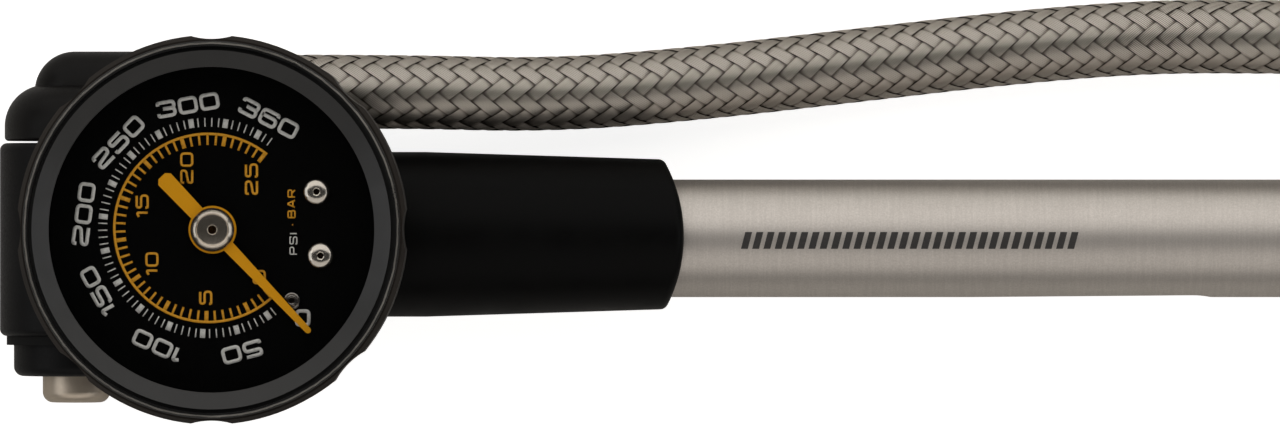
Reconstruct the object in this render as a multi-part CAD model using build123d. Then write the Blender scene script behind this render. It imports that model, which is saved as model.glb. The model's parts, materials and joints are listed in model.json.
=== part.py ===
"""Shock suspension pump: a pocket high-pressure hand pump with a dial gauge, a bleed button and a hose.

Millimetres, +Z up. The pump lies on its resting pad, gauge uppermost. The origin is the middle of the pad's
flat underside, straight below the gauge's axis. The handle pulls out along +X, and the hose runs beside it.
"""

from build123d import *
import math
import os

# ---- driving dimensions ----
AXIS_Z = 10.3  # height of the barrel, swivel and bleed valve axes above the resting face
BARREL_Y = -1.1  # barrel axis, beside the gauge axis
PIVOT_X = -17.7  # swivel and bleed valve axis, parallel to Y
COLLAR_Y = 17.25  # axis of the elbow's outlet
CONNECTOR_Y = 24.1  # axis of the valve connector
CONNECTOR_Z = 7.5
STROKE = 125.0  # travel of the handle
POINTER_REST = -46.5  # direction of the pointer at no pressure, degrees from +X

HEAD_R = 9.55
HEAD_LOW_Y = -13.3
HEAD_HIGH_Y = 10.8
WAIST_Y = -0.6  # axis of the head's round waist and of the grip
WAIST_R = 10.3
SHOULDER_X = 20.0  # the grip sleeve starts here
NECK_R = 8.6
NECK_END_X = 29.0
GRIP_END_X = 58.2
GRIP_END_R = 9.32
GRIP_END_ARC = 19.5  # the grip's end is cut to this radius, seen from above
GAUGE_SEAT_Z = 20.9  # top of the head's gauge boss
BOSS_R = 10.4

BARREL_R = 5.6
BORE_R = 4.6
BARREL_START_X = 15.2
BARREL_END_X = 168.0
GUIDE_START_X = 152.0  # the rod guide fills the barrel's mouth from here
RUNNING = 0.05  # radial clearance of a running fit
LOOSE = 0.3  # gap between parts that never touch

HANDLE_R = 7.35
HANDLE_WALL = 1.0
HANDLE_START_X = 30.0
HANDLE_END_X = 176.0
FLAT_DEPTH = 0.24  # shallow flat at the handle tube's side, deepest at its end
FLAT_START_X = 94.0
FLAT_END_X = 121.7
CAP_START_X = 168.0
CAP_END_X = 187.6
CAP_R = 10.2
ROD_R = 2.5
PISTON_FACE_X = 16.4
PISTON_LENGTH = 7.0

POST_R = 3.95
ELBOW_BORE_R = 4.0
ELBOW_LOW_Y = 11.06
ELBOW_R = 8.95
COLLAR_R = 5.0
COLLAR_END_X = -5.0

HOSE_R = 4.6
HOSE_CLEARANCE_R = 2.55  # bore of the hose over a barb
FERRULE_R = 5.6
NEAR_MOUTH_X = 9.3
FAR_MOUTH_X = 148.0
NUT_R = 7.5
NUT_START_X = 164.5
NUT_END_X = 186.0
VALVE_THREAD_R = 3.9
THREAD_START_X = 178.6

HOUSING_R = 7.8
BUTTON_R = 4.2
BUTTON_TRAVEL = 2.0

BOOT_R = 24.0
CASE_R = 22.3
RIM_R = 23.25
RIM_TOP_Z = 34.6
DIAL_Z = 28.4  # printed face
DIAL_R = 20.9
POINTER_Z = 29.4
GEAR_MODULE = 0.35
PINION_TEETH = 8
GEAR_RATIO = 6
PINION_R = GEAR_MODULE * PINION_TEETH / 2
SECTOR_R = PINION_R * GEAR_RATIO
SECTOR_DIRECTION = 200.0  # from the pointer's axis to the sector's pivot, degrees
SECTOR_PIVOT = (
    (PINION_R + SECTOR_R) * math.cos(math.radians(SECTOR_DIRECTION)),
    (PINION_R + SECTOR_R) * math.sin(math.radians(SECTOR_DIRECTION)),
)
BOURDON_R = 17.2
BOURDON_Z = 25.1
BOURDON_START = -84.0
BOURDON_SWEEP = 246.0
PLATE_LOW_Z = 23.2
PLATE_HIGH_Z = 26.4
PLATE_THICKNESS = 0.6
SECTOR_Z = 24.6
LINK_Z = 25.65
TAIL_DIRECTION = 130.0
TAIL_LENGTH = 3.9
PILLARS = ((5.2, -3.4), (3.4, 6.0), (-9.2, -9.0))
DIAL_POSTS = ((12.8, 4.7), (13.3, -3.2))
DIAL_PIN = (9.75, -8.75)

# The hose's route, from the ferrule on the elbow to the ferrule on the connector.
HOSE_ROUTE = (
    (NEAR_MOUTH_X, COLLAR_Y, AXIS_Z),
    (23.0, COLLAR_Y, AXIS_Z),
    (42.0, 16.8, 8.3),
    (61.0, 18.4, 5.6),
    (80.0, 20.6, 4.65),
    (99.0, 22.8, 4.6),
    (117.0, 24.25, 5.2),
    (134.0, CONNECTOR_Y, CONNECTOR_Z),
    (FAR_MOUTH_X, CONNECTOR_Y, CONNECTOR_Z),
)

# ---- axes: the height along each is the world coordinate it runs along ----
GAUGE = Plane.XY
BARREL = Plane(origin=(0, BARREL_Y, AXIS_Z), x_dir=(0, 1, 0), z_dir=(1, 0, 0))
WAIST = Plane(origin=(0, WAIST_Y, AXIS_Z), x_dir=(0, 1, 0), z_dir=(1, 0, 0))
PIVOT = Plane(origin=(PIVOT_X, 0, AXIS_Z), x_dir=(1, 0, 0), z_dir=(0, 1, 0))
COLLAR = Plane(origin=(0, COLLAR_Y, AXIS_Z), x_dir=(0, 1, 0), z_dir=(1, 0, 0))
CONNECTOR = Plane(origin=(0, CONNECTOR_Y, CONNECTOR_Z), x_dir=(0, 1, 0), z_dir=(1, 0, 0))


def turned(axis, *profile):
    """A turned solid: the profile's points are (height along the axis, radius)."""
    outline = Polyline(*[(radius, 0, height) for height, radius in profile], close=True)
    return axis * revolve(make_face(outline), Axis.Z, 360)


def tube(axis, start, end, outer, inner=0.0):
    """A round bar, or a tube if it has an inner radius."""
    return turned(axis, (start, inner), (start, outer), (end, outer), (end, inner))


def rounded(solid, radius, *heights, axis=Axis.Z, within=0.02):
    """The solid with its round edges at these heights along a world axis filleted."""
    direction = axis.direction
    edges = [
        edge
        for edge in solid.edges().filter_by(GeomType.CIRCLE)
        if any(abs(edge.arc_center.dot(direction) - height) < within for height in heights)
        and abs(abs(edge.normal().dot(direction)) - 1) < within
    ]
    return fillet(edges, radius)


def spring(axis, start, end, radius, wire, turns):
    """A round-wire compression spring with its end coils inside the given heights."""
    height = end - start - 2 * wire
    path = Pos(0, 0, start + wire) * Helix(height / turns, height, radius)
    section = Plane(origin=path @ 0, z_dir=path % 0) * Circle(wire)
    return axis * sweep(section, path, is_frenet=True)


def block(low, high):
    """A box between two corners."""
    size = [b - a for a, b in zip(low, high)]
    centre = [(a + b) / 2 for a, b in zip(low, high)]
    return Pos(*centre) * Box(*size)


# ---- head ----
def head_body():
    """Moulded head: cross cylinder, round waist, neck for the barrel, gauge boss and resting pad."""
    cross = rounded(
        tube(PIVOT, HEAD_LOW_Y, HEAD_HIGH_Y, HEAD_R), 0.9, HEAD_LOW_Y, HEAD_HIGH_Y, axis=Axis.Y
    )
    waist = turned(
        WAIST,
        (PIVOT_X, 0),
        (PIVOT_X, HEAD_R - 0.1),
        (PIVOT_X + 8, WAIST_R),
        (SHOULDER_X, WAIST_R),
        (SHOULDER_X, 0),
    )
    neck = tube(BARREL, SHOULDER_X, NECK_END_X, NECK_R)
    boss = tube(GAUGE, AXIS_Z, GAUGE_SEAT_Z, BOSS_R)
    pad = block((-16, -8.5, 0), (SHOULDER_X, 7.5, 5))
    pad = fillet(pad.edges().filter_by(Axis.Z), 3)
    body = cross + waist + neck + boss + pad
    socket = tube(BARREL, 12, NECK_END_X + 1, BARREL_R)
    chamber = tube(BARREL, 4.6, 12.5, 3.4)
    passage = tube(BARREL, PIVOT_X, 5, 1.25)
    gauge_hole = tube(GAUGE, 14.9, GAUGE_SEAT_Z + 1, 4.85) + tube(GAUGE, AXIS_Z, 15, 1.0)
    gauge_hole += tube(GAUGE, GAUGE_SEAT_Z - 1, GAUGE_SEAT_Z + 1, 6.6)
    post_hole = tube(PIVOT, 2.8, HEAD_HIGH_Y + 1, POST_R)
    cross_hole = tube(PIVOT, -3, 3, 1.5) + tube(PIVOT, -6.6, -2.3, 3.0)
    bleed_hole = tube(PIVOT, HEAD_LOW_Y - 1, -6.6, 5.0)
    for hole in (socket, chamber, passage, gauge_hole, post_hole, cross_hole, bleed_hole):
        body -= hole
    return body


def grip_sleeve():
    """Sleeve on the head's neck, tapered, its front end cut to an arc. The handle slides inside it."""
    sleeve = turned(
        WAIST,
        (SHOULDER_X, 0),
        (SHOULDER_X, WAIST_R),
        (26, WAIST_R),
        (GRIP_END_X + 1, GRIP_END_R - 0.05),
        (GRIP_END_X + 1, 0),
    )
    arc_centre = (GRIP_END_X - GRIP_END_ARC, -0.8)
    end = Pos(*arc_centre, AXIS_Z) * Cylinder(GRIP_END_ARC, 40)
    end += block((SHOULDER_X - 1, -20, -10), (arc_centre[0], 20, 30))
    sleeve &= end
    front = [edge for edge in sleeve.edges() if edge.center().X > GRIP_END_X - 10]
    sleeve = fillet([edge for edge in front if edge.geom_type != GeomType.CIRCLE], 1.1)
    bore = tube(BARREL, SHOULDER_X - 1, NECK_END_X + 0.2, NECK_R)
    bore += tube(BARREL, NECK_END_X, GRIP_END_X + 5, HANDLE_R + 0.1)
    return sleeve - bore


def barrel():
    """Inner barrel, held in the head."""
    return tube(BARREL, BARREL_START_X, BARREL_END_X, BARREL_R, BORE_R)


def barrel_seal():
    """Seal between the barrel's end and the valve seat."""
    return tube(BARREL, 14.0, BARREL_START_X, BARREL_R, BORE_R)


def check_valve_seat():
    """Brass seat disc with a raised lip for the poppet."""
    return turned(BARREL, (12.0, 1.5), (12.0, BARREL_R), (14.0, BARREL_R), (14.0, 1.5))


def check_poppet():
    """Poppet on its stem; it lifts towards -X to let air into the head."""
    return turned(
        BARREL, (6.6, 0), (6.6, 0.9), (10.2, 0.9), (10.2, 2.6), (11.5, 2.6), (11.95, 2.1), (11.95, 0)
    )


def check_spring():
    """Spring that holds the poppet on its seat."""
    return spring(BARREL, 4.7, 10.1, 1.75, 0.25, 5)


def rod_guide():
    """Long guide in the barrel's mouth, which the piston rod runs through."""
    return turned(
        BARREL,
        (GUIDE_START_X, ROD_R + RUNNING),
        (GUIDE_START_X, BORE_R),
        (BARREL_END_X, BORE_R),
        (BARREL_END_X, BARREL_R),
        (170, BARREL_R),
        (170, ROD_R + RUNNING),
    )


def rod_bumper():
    """Rubber washer that stops the piston at full stroke."""
    piston_stop_x = PISTON_FACE_X + PISTON_LENGTH + STROKE
    return tube(BARREL, piston_stop_x + LOOSE, GUIDE_START_X, BORE_R, ROD_R + LOOSE)


# ---- handle ----
def handle_tube():
    """Outer tube, with a shallow sloping flat that ends in a curved run-out."""
    body = tube(BARREL, HANDLE_START_X, HANDLE_END_X, HANDLE_R, HANDLE_R - HANDLE_WALL)
    flat_y = BARREL_Y - HANDLE_R + FLAT_DEPTH
    slope = math.degrees(math.atan2(FLAT_DEPTH, FLAT_END_X - FLAT_START_X))
    cutter = Pos(FLAT_END_X, flat_y, AXIS_Z) * Rot(0, 0, slope) * Pos(-30, -5, 0) * Box(60, 10, 30)
    runout_r = 12.0
    cutter += Pos(FLAT_END_X, flat_y - runout_r, AXIS_Z) * Cylinder(runout_r, 30)
    return body - cutter


def handle_bush():
    """Guide bush pressed in the tube's open end; it runs on the barrel."""
    return tube(
        BARREL, HANDLE_START_X, HANDLE_START_X + 8, HANDLE_R - HANDLE_WALL, BARREL_R + RUNNING
    )


def handle_end_cap():
    """End cap: socket for the tube, hole for the rod, recess for the nut."""
    cap = turned(
        BARREL,
        (CAP_START_X, HANDLE_R),
        (CAP_START_X, 8.9),
        (CAP_START_X + 4, CAP_R),
        (CAP_END_X, CAP_R),
        (CAP_END_X, 5.0),
        (182.5, 5.0),
        (182.5, ROD_R),
        (HANDLE_END_X, ROD_R),
        (HANDLE_END_X, HANDLE_R),
    )
    outer = [
        e
        for e in cap.edges().filter_by(GeomType.CIRCLE)
        if abs(e.arc_center.X - CAP_END_X) < 0.02 and e.radius > CAP_R - 0.1
    ]
    return fillet(outer, 2.5)


def cap_plug():
    """Plug that closes the end cap's recess."""
    return rounded(tube(BARREL, 186.2, 187.9, 5.0), 0.5, 187.9, axis=Axis.X)


def piston_rod():
    """Rod from the piston to the end cap."""
    return tube(BARREL, PISTON_FACE_X + 1.4, 185.0, ROD_R)


def rod_nut():
    """Hexagon nut that holds the rod in the end cap."""
    blank = BARREL * Pos(0, 0, 182.5) * extrude(RegularPolygon(4.4, 6), 2.5)
    return blank - tube(BARREL, 182, 186, ROD_R)


def piston():
    """Piston with a groove for its seal."""
    end = PISTON_FACE_X + PISTON_LENGTH
    outer = BORE_R - RUNNING
    body = turned(
        BARREL,
        (PISTON_FACE_X, 0),
        (PISTON_FACE_X, outer),
        (PISTON_FACE_X + 2.2, outer),
        (PISTON_FACE_X + 2.2, outer - 1.2),
        (PISTON_FACE_X + 4.2, outer - 1.2),
        (PISTON_FACE_X + 4.2, outer),
        (end, outer),
        (end, 0),
    )
    return body - tube(BARREL, PISTON_FACE_X + 1.4, end + 1, ROD_R)


def piston_seal():
    """Seal ring in the piston's groove."""
    return tube(
        BARREL, PISTON_FACE_X + 2.2, PISTON_FACE_X + 4.2, BORE_R - 0.02, BORE_R - RUNNING - 1.2
    )


# ---- swivel and hose ----
def swivel_post():
    """Hollow post screwed in the head, on which the elbow turns."""
    post = turned(
        PIVOT,
        (2.8, 1.4),
        (2.8, POST_R),
        (11.6, POST_R),
        (11.6, 3.3),
        (12.4, 3.3),
        (12.4, POST_R),
        (13.0, POST_R),
        (13.0, 3.0),
        (14.3, 3.0),
        (14.3, POST_R),
        (14.8, POST_R),
        (14.8, 3.0),
        (16.1, 3.0),
        (16.1, POST_R),
        (16.5, POST_R),
        (16.5, 3.4),
        (18.0, 3.4),
        (18.0, POST_R),
        (19.0, POST_R),
        (19.0, 0),
        (17.9, 0),
        (17.9, 1.4),
    )
    return post - Pos(PIVOT_X, COLLAR_Y, AXIS_Z) * Rot(0, 90, 0) * Cylinder(0.7, 20)


def swivel_seals():
    """Two seal rings in the post's grooves."""
    return Compound(children=[tube(PIVOT, low, low + 1.3, 3.985, 3.0) for low in (13.0, 14.8)])


def swivel_retaining_ring():
    """Ring in the post's groove that keeps the elbow on."""
    return tube(PIVOT, 11.65, 12.35, 4.6, 3.3)


def swivel_elbow():
    """Elbow: round base on the post, and an outlet collar at a right angle to it."""
    base_high_y = 18.1
    base = tube(PIVOT, ELBOW_LOW_Y, base_high_y, ELBOW_R)
    base = rounded(base, 5.2, base_high_y, axis=Axis.Y)
    base = rounded(base, 0.5, ELBOW_LOW_Y, axis=Axis.Y)
    heel = Pos(PIVOT_X - 0.2, COLLAR_Y, AXIS_Z) * Sphere(COLLAR_R)
    body = base + heel + tube(COLLAR, PIVOT_X - 0.2, COLLAR_END_X, COLLAR_R)
    bore = tube(PIVOT, ELBOW_LOW_Y - 1, 19.3, ELBOW_BORE_R)
    bore += tube(PIVOT, 11.45, 12.55, 4.9)
    outlet = tube(COLLAR, PIVOT_X, COLLAR_END_X, 1.5) + tube(COLLAR, -12, COLLAR_END_X + 1, 2.6)
    return body - bore - outlet


def barb_profile(start, end, step):
    """Outline points of a barbed nipple, heights from start to end, each ridge a step long."""
    count = int(abs(end - start) / abs(step) + 1e-6)
    points = []
    for index in range(count):
        points += [(start + index * step, 2.15), (start + (index + 0.9) * step, 2.5)]
    return points + [(end, 2.15)]


def hose_barb():
    """Nipple between the elbow's collar and the hose."""
    return turned(
        COLLAR,
        (-12, 1.2),
        (-12, 2.6),
        (-3.9, 2.6),
        *barb_profile(-3.9, NEAR_MOUTH_X, 2.2),
        (NEAR_MOUTH_X, 1.2),
    )


def hose_ferrule():
    """Crimped ferrule on the hose's end at the elbow."""
    return turned(
        COLLAR,
        (COLLAR_END_X, 2.6),
        (COLLAR_END_X, FERRULE_R - 0.4),
        (COLLAR_END_X + 0.6, FERRULE_R),
        (NEAR_MOUTH_X - 0.6, FERRULE_R),
        (NEAR_MOUTH_X, FERRULE_R - 0.3),
        (NEAR_MOUTH_X, HOSE_R),
        (-3.9, HOSE_R),
        (-3.9, 2.6),
    )


def route_radii(points):
    """The arc at each corner of a route: 0.45 of its shorter run, over the tangent of half the turn."""
    radii = []
    for before, corner, after in zip(points, points[1:], points[2:]):
        first = Vector(*corner) - Vector(*before)
        second = Vector(*after) - Vector(*corner)
        half_turn = math.radians(first.get_angle(second)) / 2
        radii.append(0.45 * min(first.length, second.length) / math.tan(half_turn))
    return radii


def hose():
    """Braided hose: a solid round length between the two ferrules, and the crimped ends inside them."""
    radii = route_radii(HOSE_ROUTE)
    route = FilletPolyline(*HOSE_ROUTE, radius=radii)
    section = Plane(origin=route @ 0, z_dir=route % 0) * Circle(HOSE_R)
    length = sweep(section, path=route)
    expected = math.pi * HOSE_R**2 * route.length
    print("hose radii", [round(r) for r in radii])
    print(f"hose length {route.length:.1f} mm, volume {length.volume:.0f}, section x length {expected:.0f}")
    near = tube(COLLAR, -3.9, NEAR_MOUTH_X, HOSE_R, HOSE_CLEARANCE_R)
    far = tube(CONNECTOR, FAR_MOUTH_X, FAR_MOUTH_X + 13.2, HOSE_R, HOSE_CLEARANCE_R)
    return length + near + far


# ---- valve connector ----
def connector_ferrule():
    """Crimped ferrule on the hose's end at the connector."""
    far = FAR_MOUTH_X + 14.2
    return turned(
        CONNECTOR,
        (FAR_MOUTH_X, HOSE_R),
        (FAR_MOUTH_X, FERRULE_R - 0.3),
        (FAR_MOUTH_X + 0.6, FERRULE_R),
        (far - 0.6, FERRULE_R),
        (far, FERRULE_R - 0.4),
        (far, 2.6),
        (FAR_MOUTH_X + 13.2, 2.6),
        (FAR_MOUTH_X + 13.2, HOSE_R),
    )


def connector_body():
    """Connector's stem: barb, neck, head flange that the nut turns on, and nose with a pin seat."""
    stop = FAR_MOUTH_X + 14.2
    barb = barb_profile(FAR_MOUTH_X + 13.2, FAR_MOUTH_X, -2.2)
    return turned(
        CONNECTOR,
        (FAR_MOUTH_X, 1.2),
        *reversed(barb),
        (FAR_MOUTH_X + 13.2, 2.6),
        (stop, 2.6),
        (stop, 4.0),
        (168.0, 4.0),
        (168.0, 5.42),
        (171.5, 5.42),
        (171.5, 3.4),
        (173.5, 3.4),
        (173.5, 1.9),
        (170.5, 1.9),
        (170.5, 1.2),
    )


def connector_nut():
    """Knurled nut that screws onto the tyre-type valve; it turns freely on the connector's head."""
    nut = turned(
        CONNECTOR,
        (NUT_START_X, 5.5),
        (NUT_START_X, NUT_R - 0.6),
        (NUT_START_X + 0.8, NUT_R),
        (NUT_END_X - 2.2, NUT_R),
        (NUT_END_X, NUT_R - 1.3),
        (NUT_END_X, VALVE_THREAD_R),
        (THREAD_START_X, VALVE_THREAD_R),
        (THREAD_START_X, 4.6),
        (176.0, 4.6),
        (176.0, 5.5),
        (167.6, 5.5),
        (167.6, 6.0),
        (166.7, 6.0),
        (166.7, 5.5),
    )
    flutes = [
        CONNECTOR * Rot(0, 0, 360 / 20 * i) * Pos(NUT_R + 0.35, 0, 173.5) * Cylinder(0.7, 12)
        for i in range(20)
    ]
    return nut - flutes


def connector_circlip():
    """Ring in the nut's groove, behind the head flange."""
    return tube(CONNECTOR, 166.75, 167.55, 6.0, 4.0 + RUNNING)


def connector_seal():
    """Rubber face seal for the valve's end."""
    return tube(CONNECTOR, 173.5, 175.7, 5.2, 1.4)


def depressor_pin():
    """Pin that opens the valve's core, on a disc with air ways."""
    pin = tube(CONNECTOR, 170.5, 171.5, 1.9) + tube(CONNECTOR, 171.5, 178.4, 0.7)
    ways = [CONNECTOR * Rot(0, 0, 120 * i) * Pos(1.3, 0, 171) * Cylinder(0.4, 3) for i in range(3)]
    return pin - ways


# ---- bleed valve ----
def bleed_washer():
    """Sealing washer between the head and the bleed valve's housing."""
    return tube(PIVOT, -14.4, HEAD_LOW_Y, 8.7, 5.0)


def bleed_housing():
    """Housing screwed in the head's end, with the button's bore."""
    housing = turned(
        PIVOT,
        (-18.3, BUTTON_R + RUNNING),
        (-18.3, HOUSING_R),
        (-14.4, HOUSING_R),
        (-14.4, 5.0),
        (-8.0, 5.0),
        (-8.0, 1.5),
        (-11.5, 1.5),
        (-11.5, 3.2),
        (-13.6, 3.2),
        (-13.6, BUTTON_R + RUNNING),
    )
    outer = [
        e
        for e in housing.edges().filter_by(GeomType.CIRCLE)
        if abs(e.arc_center.Y + 18.3) < 0.02 and e.radius > HOUSING_R - 0.1
    ]
    return fillet(outer, 1.2)


def bleed_seat():
    """Brass seat ring behind the housing."""
    return tube(PIVOT, -8.0, -6.6, 5.0, 1.7)


def bleed_seal():
    """Rubber ring on the stem that closes the seat."""
    return tube(PIVOT, -6.55, -5.4, 2.5, 1.1)


def bleed_stem():
    """Stem from the button to the seal, with a head behind the seal."""
    return turned(PIVOT, (-19.0, 0), (-19.0, 1.1), (-5.4, 1.1), (-5.4, 2.4), (-4.6, 2.4), (-4.6, 0))


def bleed_button():
    """Push button."""
    button = tube(PIVOT, -21.6, -16.0, BUTTON_R) - tube(PIVOT, -19.0, -15.0, 1.1)
    outer = [e for e in button.edges().filter_by(GeomType.CIRCLE) if abs(e.arc_center.Y + 21.6) < 0.02]
    return fillet(outer, 1.3)


def bleed_spring():
    """Spring under the button."""
    return spring(PIVOT, -15.95, -11.55, 2.3, 0.3, 3)


# ---- gauge ----
def gauge_seal():
    """Seal under the gauge, in the boss's recess."""
    return tube(GAUGE, GAUGE_SEAT_Z - 1, GAUGE_SEAT_Z, 6.6, 4.85)


def gauge_socket():
    """Threaded socket and the block that the curved tube is brazed into."""
    stem = tube(GAUGE, 15.0, 21.9, 4.85)
    hub = tube(GAUGE, 21.9, PLATE_LOW_Z, 5.6)
    arm = block((-2.2, -19.0, 21.9), (2.2, 0, PLATE_LOW_Z))
    root = block((-2.2, -19.0, 21.9), (2.2, -15.4, 27.2))
    airway = tube(GAUGE, 14, 22.5, 0.8)
    seat = curved_bar(RectangleRounded(1.5, 3.4, 0.6))
    return stem + hub + arm + root - airway - seat


def gauge_case():
    """Gauge case: a cup with a ledge for the dial, a shelf for the lens and a flared rim."""
    return turned(
        GAUGE,
        (GAUGE_SEAT_Z, 4.85),
        (GAUGE_SEAT_Z, CASE_R),
        (30.6, CASE_R),
        (31.4, RIM_R),
        (RIM_TOP_Z - 0.25, RIM_R),
        (RIM_TOP_Z, RIM_R - 0.2),
        (RIM_TOP_Z, 22.6),
        (31.2, 22.6),
        (31.2, 21.2),
        (DIAL_Z - 0.5, 21.2),
        (DIAL_Z - 0.5, 20.3),
        (21.9, 20.3),
        (21.9, 4.85),
    )


def rubber_boot():
    """Rubber bumper round the case, with eight shallow finger notches."""
    boot = turned(
        GAUGE,
        (GAUGE_SEAT_Z, CASE_R),
        (GAUGE_SEAT_Z, BOOT_R - 0.9),
        (GAUGE_SEAT_Z + 0.9, BOOT_R),
        (32.9, BOOT_R),
        (33.6, RIM_R + 0.25),
        (33.6, RIM_R),
        (31.4, RIM_R),
        (30.6, CASE_R),
    )
    notch_r = 9.0
    notches = [
        Rot(0, 0, 45 * i) * Pos(BOOT_R - 0.5 + notch_r, 0, 30) * Cylinder(notch_r, 40) for i in range(8)
    ]
    return boot - notches


def lens_gasket():
    """Gasket under the lens."""
    return tube(GAUGE, 31.2, 31.6, 22.2, 21.2)


def gauge_lens():
    """Clear lens."""
    return tube(GAUGE, 31.6, 32.8, 22.2)


def bezel_ring():
    """Retaining ring over the lens, sloped towards the dial."""
    return turned(
        GAUGE, (32.8, 20.05), (32.8, 22.6), (33.2, 22.6), (33.2, 22.1), (34.5, 22.1), (33.3, 20.05)
    )


def dial_plate():
    """Printed dial."""
    dial = tube(GAUGE, DIAL_Z - 0.5, DIAL_Z, DIAL_R, 1.2)
    for x, y in (*DIAL_POSTS, DIAL_PIN):
        dial -= Pos(x, y, DIAL_Z) * Cylinder(0.7, 3)
    return dial


def dial_posts():
    """Posts from the case's back that carry the dial."""
    post = tube(GAUGE, 21.9, DIAL_Z - 0.5, 1.3)
    return Compound(children=[Pos(x, y, 0) * post for x, y in DIAL_POSTS])


def dial_screws():
    """Domed screws with a socket, through the dial into the posts."""
    screws = []
    for x, y in DIAL_POSTS:
        head = rounded(tube(GAUGE, DIAL_Z, DIAL_Z + 0.75, 1.66), 0.6, DIAL_Z + 0.75)
        head -= tube(GAUGE, DIAL_Z + 0.2, DIAL_Z + 1, 0.8)
        head += tube(GAUGE, DIAL_Z - 0.5, DIAL_Z + 0.1, 0.7)
        screws.append(Pos(x, y, 0) * head)
    return Compound(children=screws)


def zero_pin():
    """Small hollow rivet in the dial, just below the pointer's rest."""
    pin = rounded(tube(GAUGE, DIAL_Z, DIAL_Z + 0.55, 1.1), 0.3, DIAL_Z + 0.55)
    pin += tube(GAUGE, DIAL_Z - 1.0, DIAL_Z + 0.1, 0.7)
    pin -= tube(GAUGE, DIAL_Z - 0.2, DIAL_Z + 1, 0.45)
    return Pos(*DIAL_PIN, 0) * pin


def curved_bar(outline):
    """The curved tube's path, swept with an outline."""
    section = Pos(BOURDON_R, 0, BOURDON_Z) * Rot(90, 0, 0) * outline
    return Rot(0, 0, BOURDON_START) * revolve(section, Axis.Z, BOURDON_SWEEP)


def bourdon_tube():
    """Curved flat tube that straightens with pressure."""
    return curved_bar(RectangleRounded(1.5, 3.4, 0.6) - RectangleRounded(1.0, 2.9, 0.35))


def bourdon_tip():
    """Block that closes the curved tube's free end, with a tab under the link."""
    cap = block((BOURDON_R - 1, 0, 23.2), (BOURDON_R + 1, 2.4, 27.0))
    tab = block((BOURDON_R - 2.8, 0.2, 25.0), (BOURDON_R - 1, 2.2, LINK_Z))
    return Rot(0, 0, BOURDON_START + BOURDON_SWEEP) * (cap + tab)


def movement_outline():
    """Outline of the movement's plates, round every pillar and pivot."""
    rounds = [Pos(*SECTOR_PIVOT) * Circle(2.6), Circle(3.4)]
    rounds += [Pos(x, y) * Circle(1.9) for x, y in PILLARS]
    return make_hull([edge for round_ in rounds for edge in round_.edges()])


def movement_plate(low):
    """One plate of the movement, with bearing holes for both arbors."""
    plate = Pos(0, 0, low) * extrude(movement_outline(), PLATE_THICKNESS)
    for (x, y), radius in (((0, 0), 0.55), (SECTOR_PIVOT, 0.65)):
        plate -= Pos(x, y, low) * Cylinder(radius, 4)
    return plate


def movement_pillars():
    """Pillars between the two plates."""
    pillar = tube(GAUGE, PLATE_LOW_Z + PLATE_THICKNESS, PLATE_HIGH_Z, 0.9)
    return Compound(children=[Pos(x, y, 0) * pillar for x, y in PILLARS])


def movement_screws():
    """Screws on the upper plate, over the pillars."""
    top = PLATE_HIGH_Z + PLATE_THICKNESS
    screws = []
    for x, y in PILLARS:
        head = tube(GAUGE, top, top + 0.6, 1.2) - block((-2, -0.15, top + 0.3), (2, 0.15, top + 1))
        screws.append(Pos(x, y, 0) * head)
    return Compound(children=screws)


def toothed(radius, directions, rim):
    """Straight-flanked teeth on a round blank: flanks at the root, at the pitch circle and at the tip."""
    root = radius - 0.38
    flanks = ((rim, 0.3), (root, 0.28), (radius, 0.2), (radius + 0.26, 0.09))
    outline = [(r, half) for r, half in flanks] + [(r, -half) for r, half in reversed(flanks)]
    tooth = make_face(Polyline(*outline, close=True))
    shape = Rot(0, 0, directions[0]) * tooth
    for direction in directions[1:]:
        shape += Rot(0, 0, direction) * tooth
    return shape


def wedge(middle, half, reach):
    """A triangle-fan face from the origin, to either side of a middle direction."""
    corners = [
        (reach * math.cos(math.radians(a)), reach * math.sin(math.radians(a)))
        for a in (middle - half, middle, middle + half)
    ]
    return make_face(Polyline((0, 0), *corners, close=True))


def pinion_arbor():
    """Pointer's arbor with its pinion."""
    first = SECTOR_DIRECTION + 180 / PINION_TEETH
    directions = [first + 360 / PINION_TEETH * i for i in range(PINION_TEETH)]
    gear = toothed(PINION_R, directions, 0.4) + Circle(PINION_R - 0.38)
    arbor = tube(GAUGE, PLATE_LOW_Z + RUNNING, POINTER_Z + 0.4, 0.5)
    return arbor + Pos(0, 0, SECTOR_Z - 0.4) * extrude(gear, 1.6)


def sector_gear():
    """Sector with its own arbor and tail, meshing with the pinion."""
    mesh = SECTOR_DIRECTION - 180
    pitch = 360 / PINION_TEETH / GEAR_RATIO
    directions = [mesh + pitch * (2 - i) for i in range(11)]
    rim = SECTOR_R - 1.2
    teeth = toothed(SECTOR_R, directions, rim)
    middle = (directions[0] + directions[-1]) / 2
    half = (directions[0] - directions[-1]) / 2 + 2.5
    outer = SECTOR_R - 0.38
    web = (Circle(outer) & wedge(middle, half, 2 * outer)) + Circle(1.5)
    window = (Circle(rim - 0.3) - Circle(3.4)) & wedge(middle, half - 16, 2 * outer)
    tail = Pos((TAIL_LENGTH + 0.9) / 2, 0) * Rectangle(TAIL_LENGTH + 0.9, 1.4)
    tail = Rot(0, 0, TAIL_DIRECTION) * (tail - Pos(TAIL_LENGTH, 0) * Circle(0.35))
    blade = teeth + web - window + tail
    solid = Pos(0, 0, SECTOR_Z) * extrude(blade, 0.8)
    solid += tube(GAUGE, PLATE_LOW_Z + RUNNING, PLATE_HIGH_Z + PLATE_THICKNESS, 0.6)
    return Pos(*SECTOR_PIVOT, 0) * solid


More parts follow.
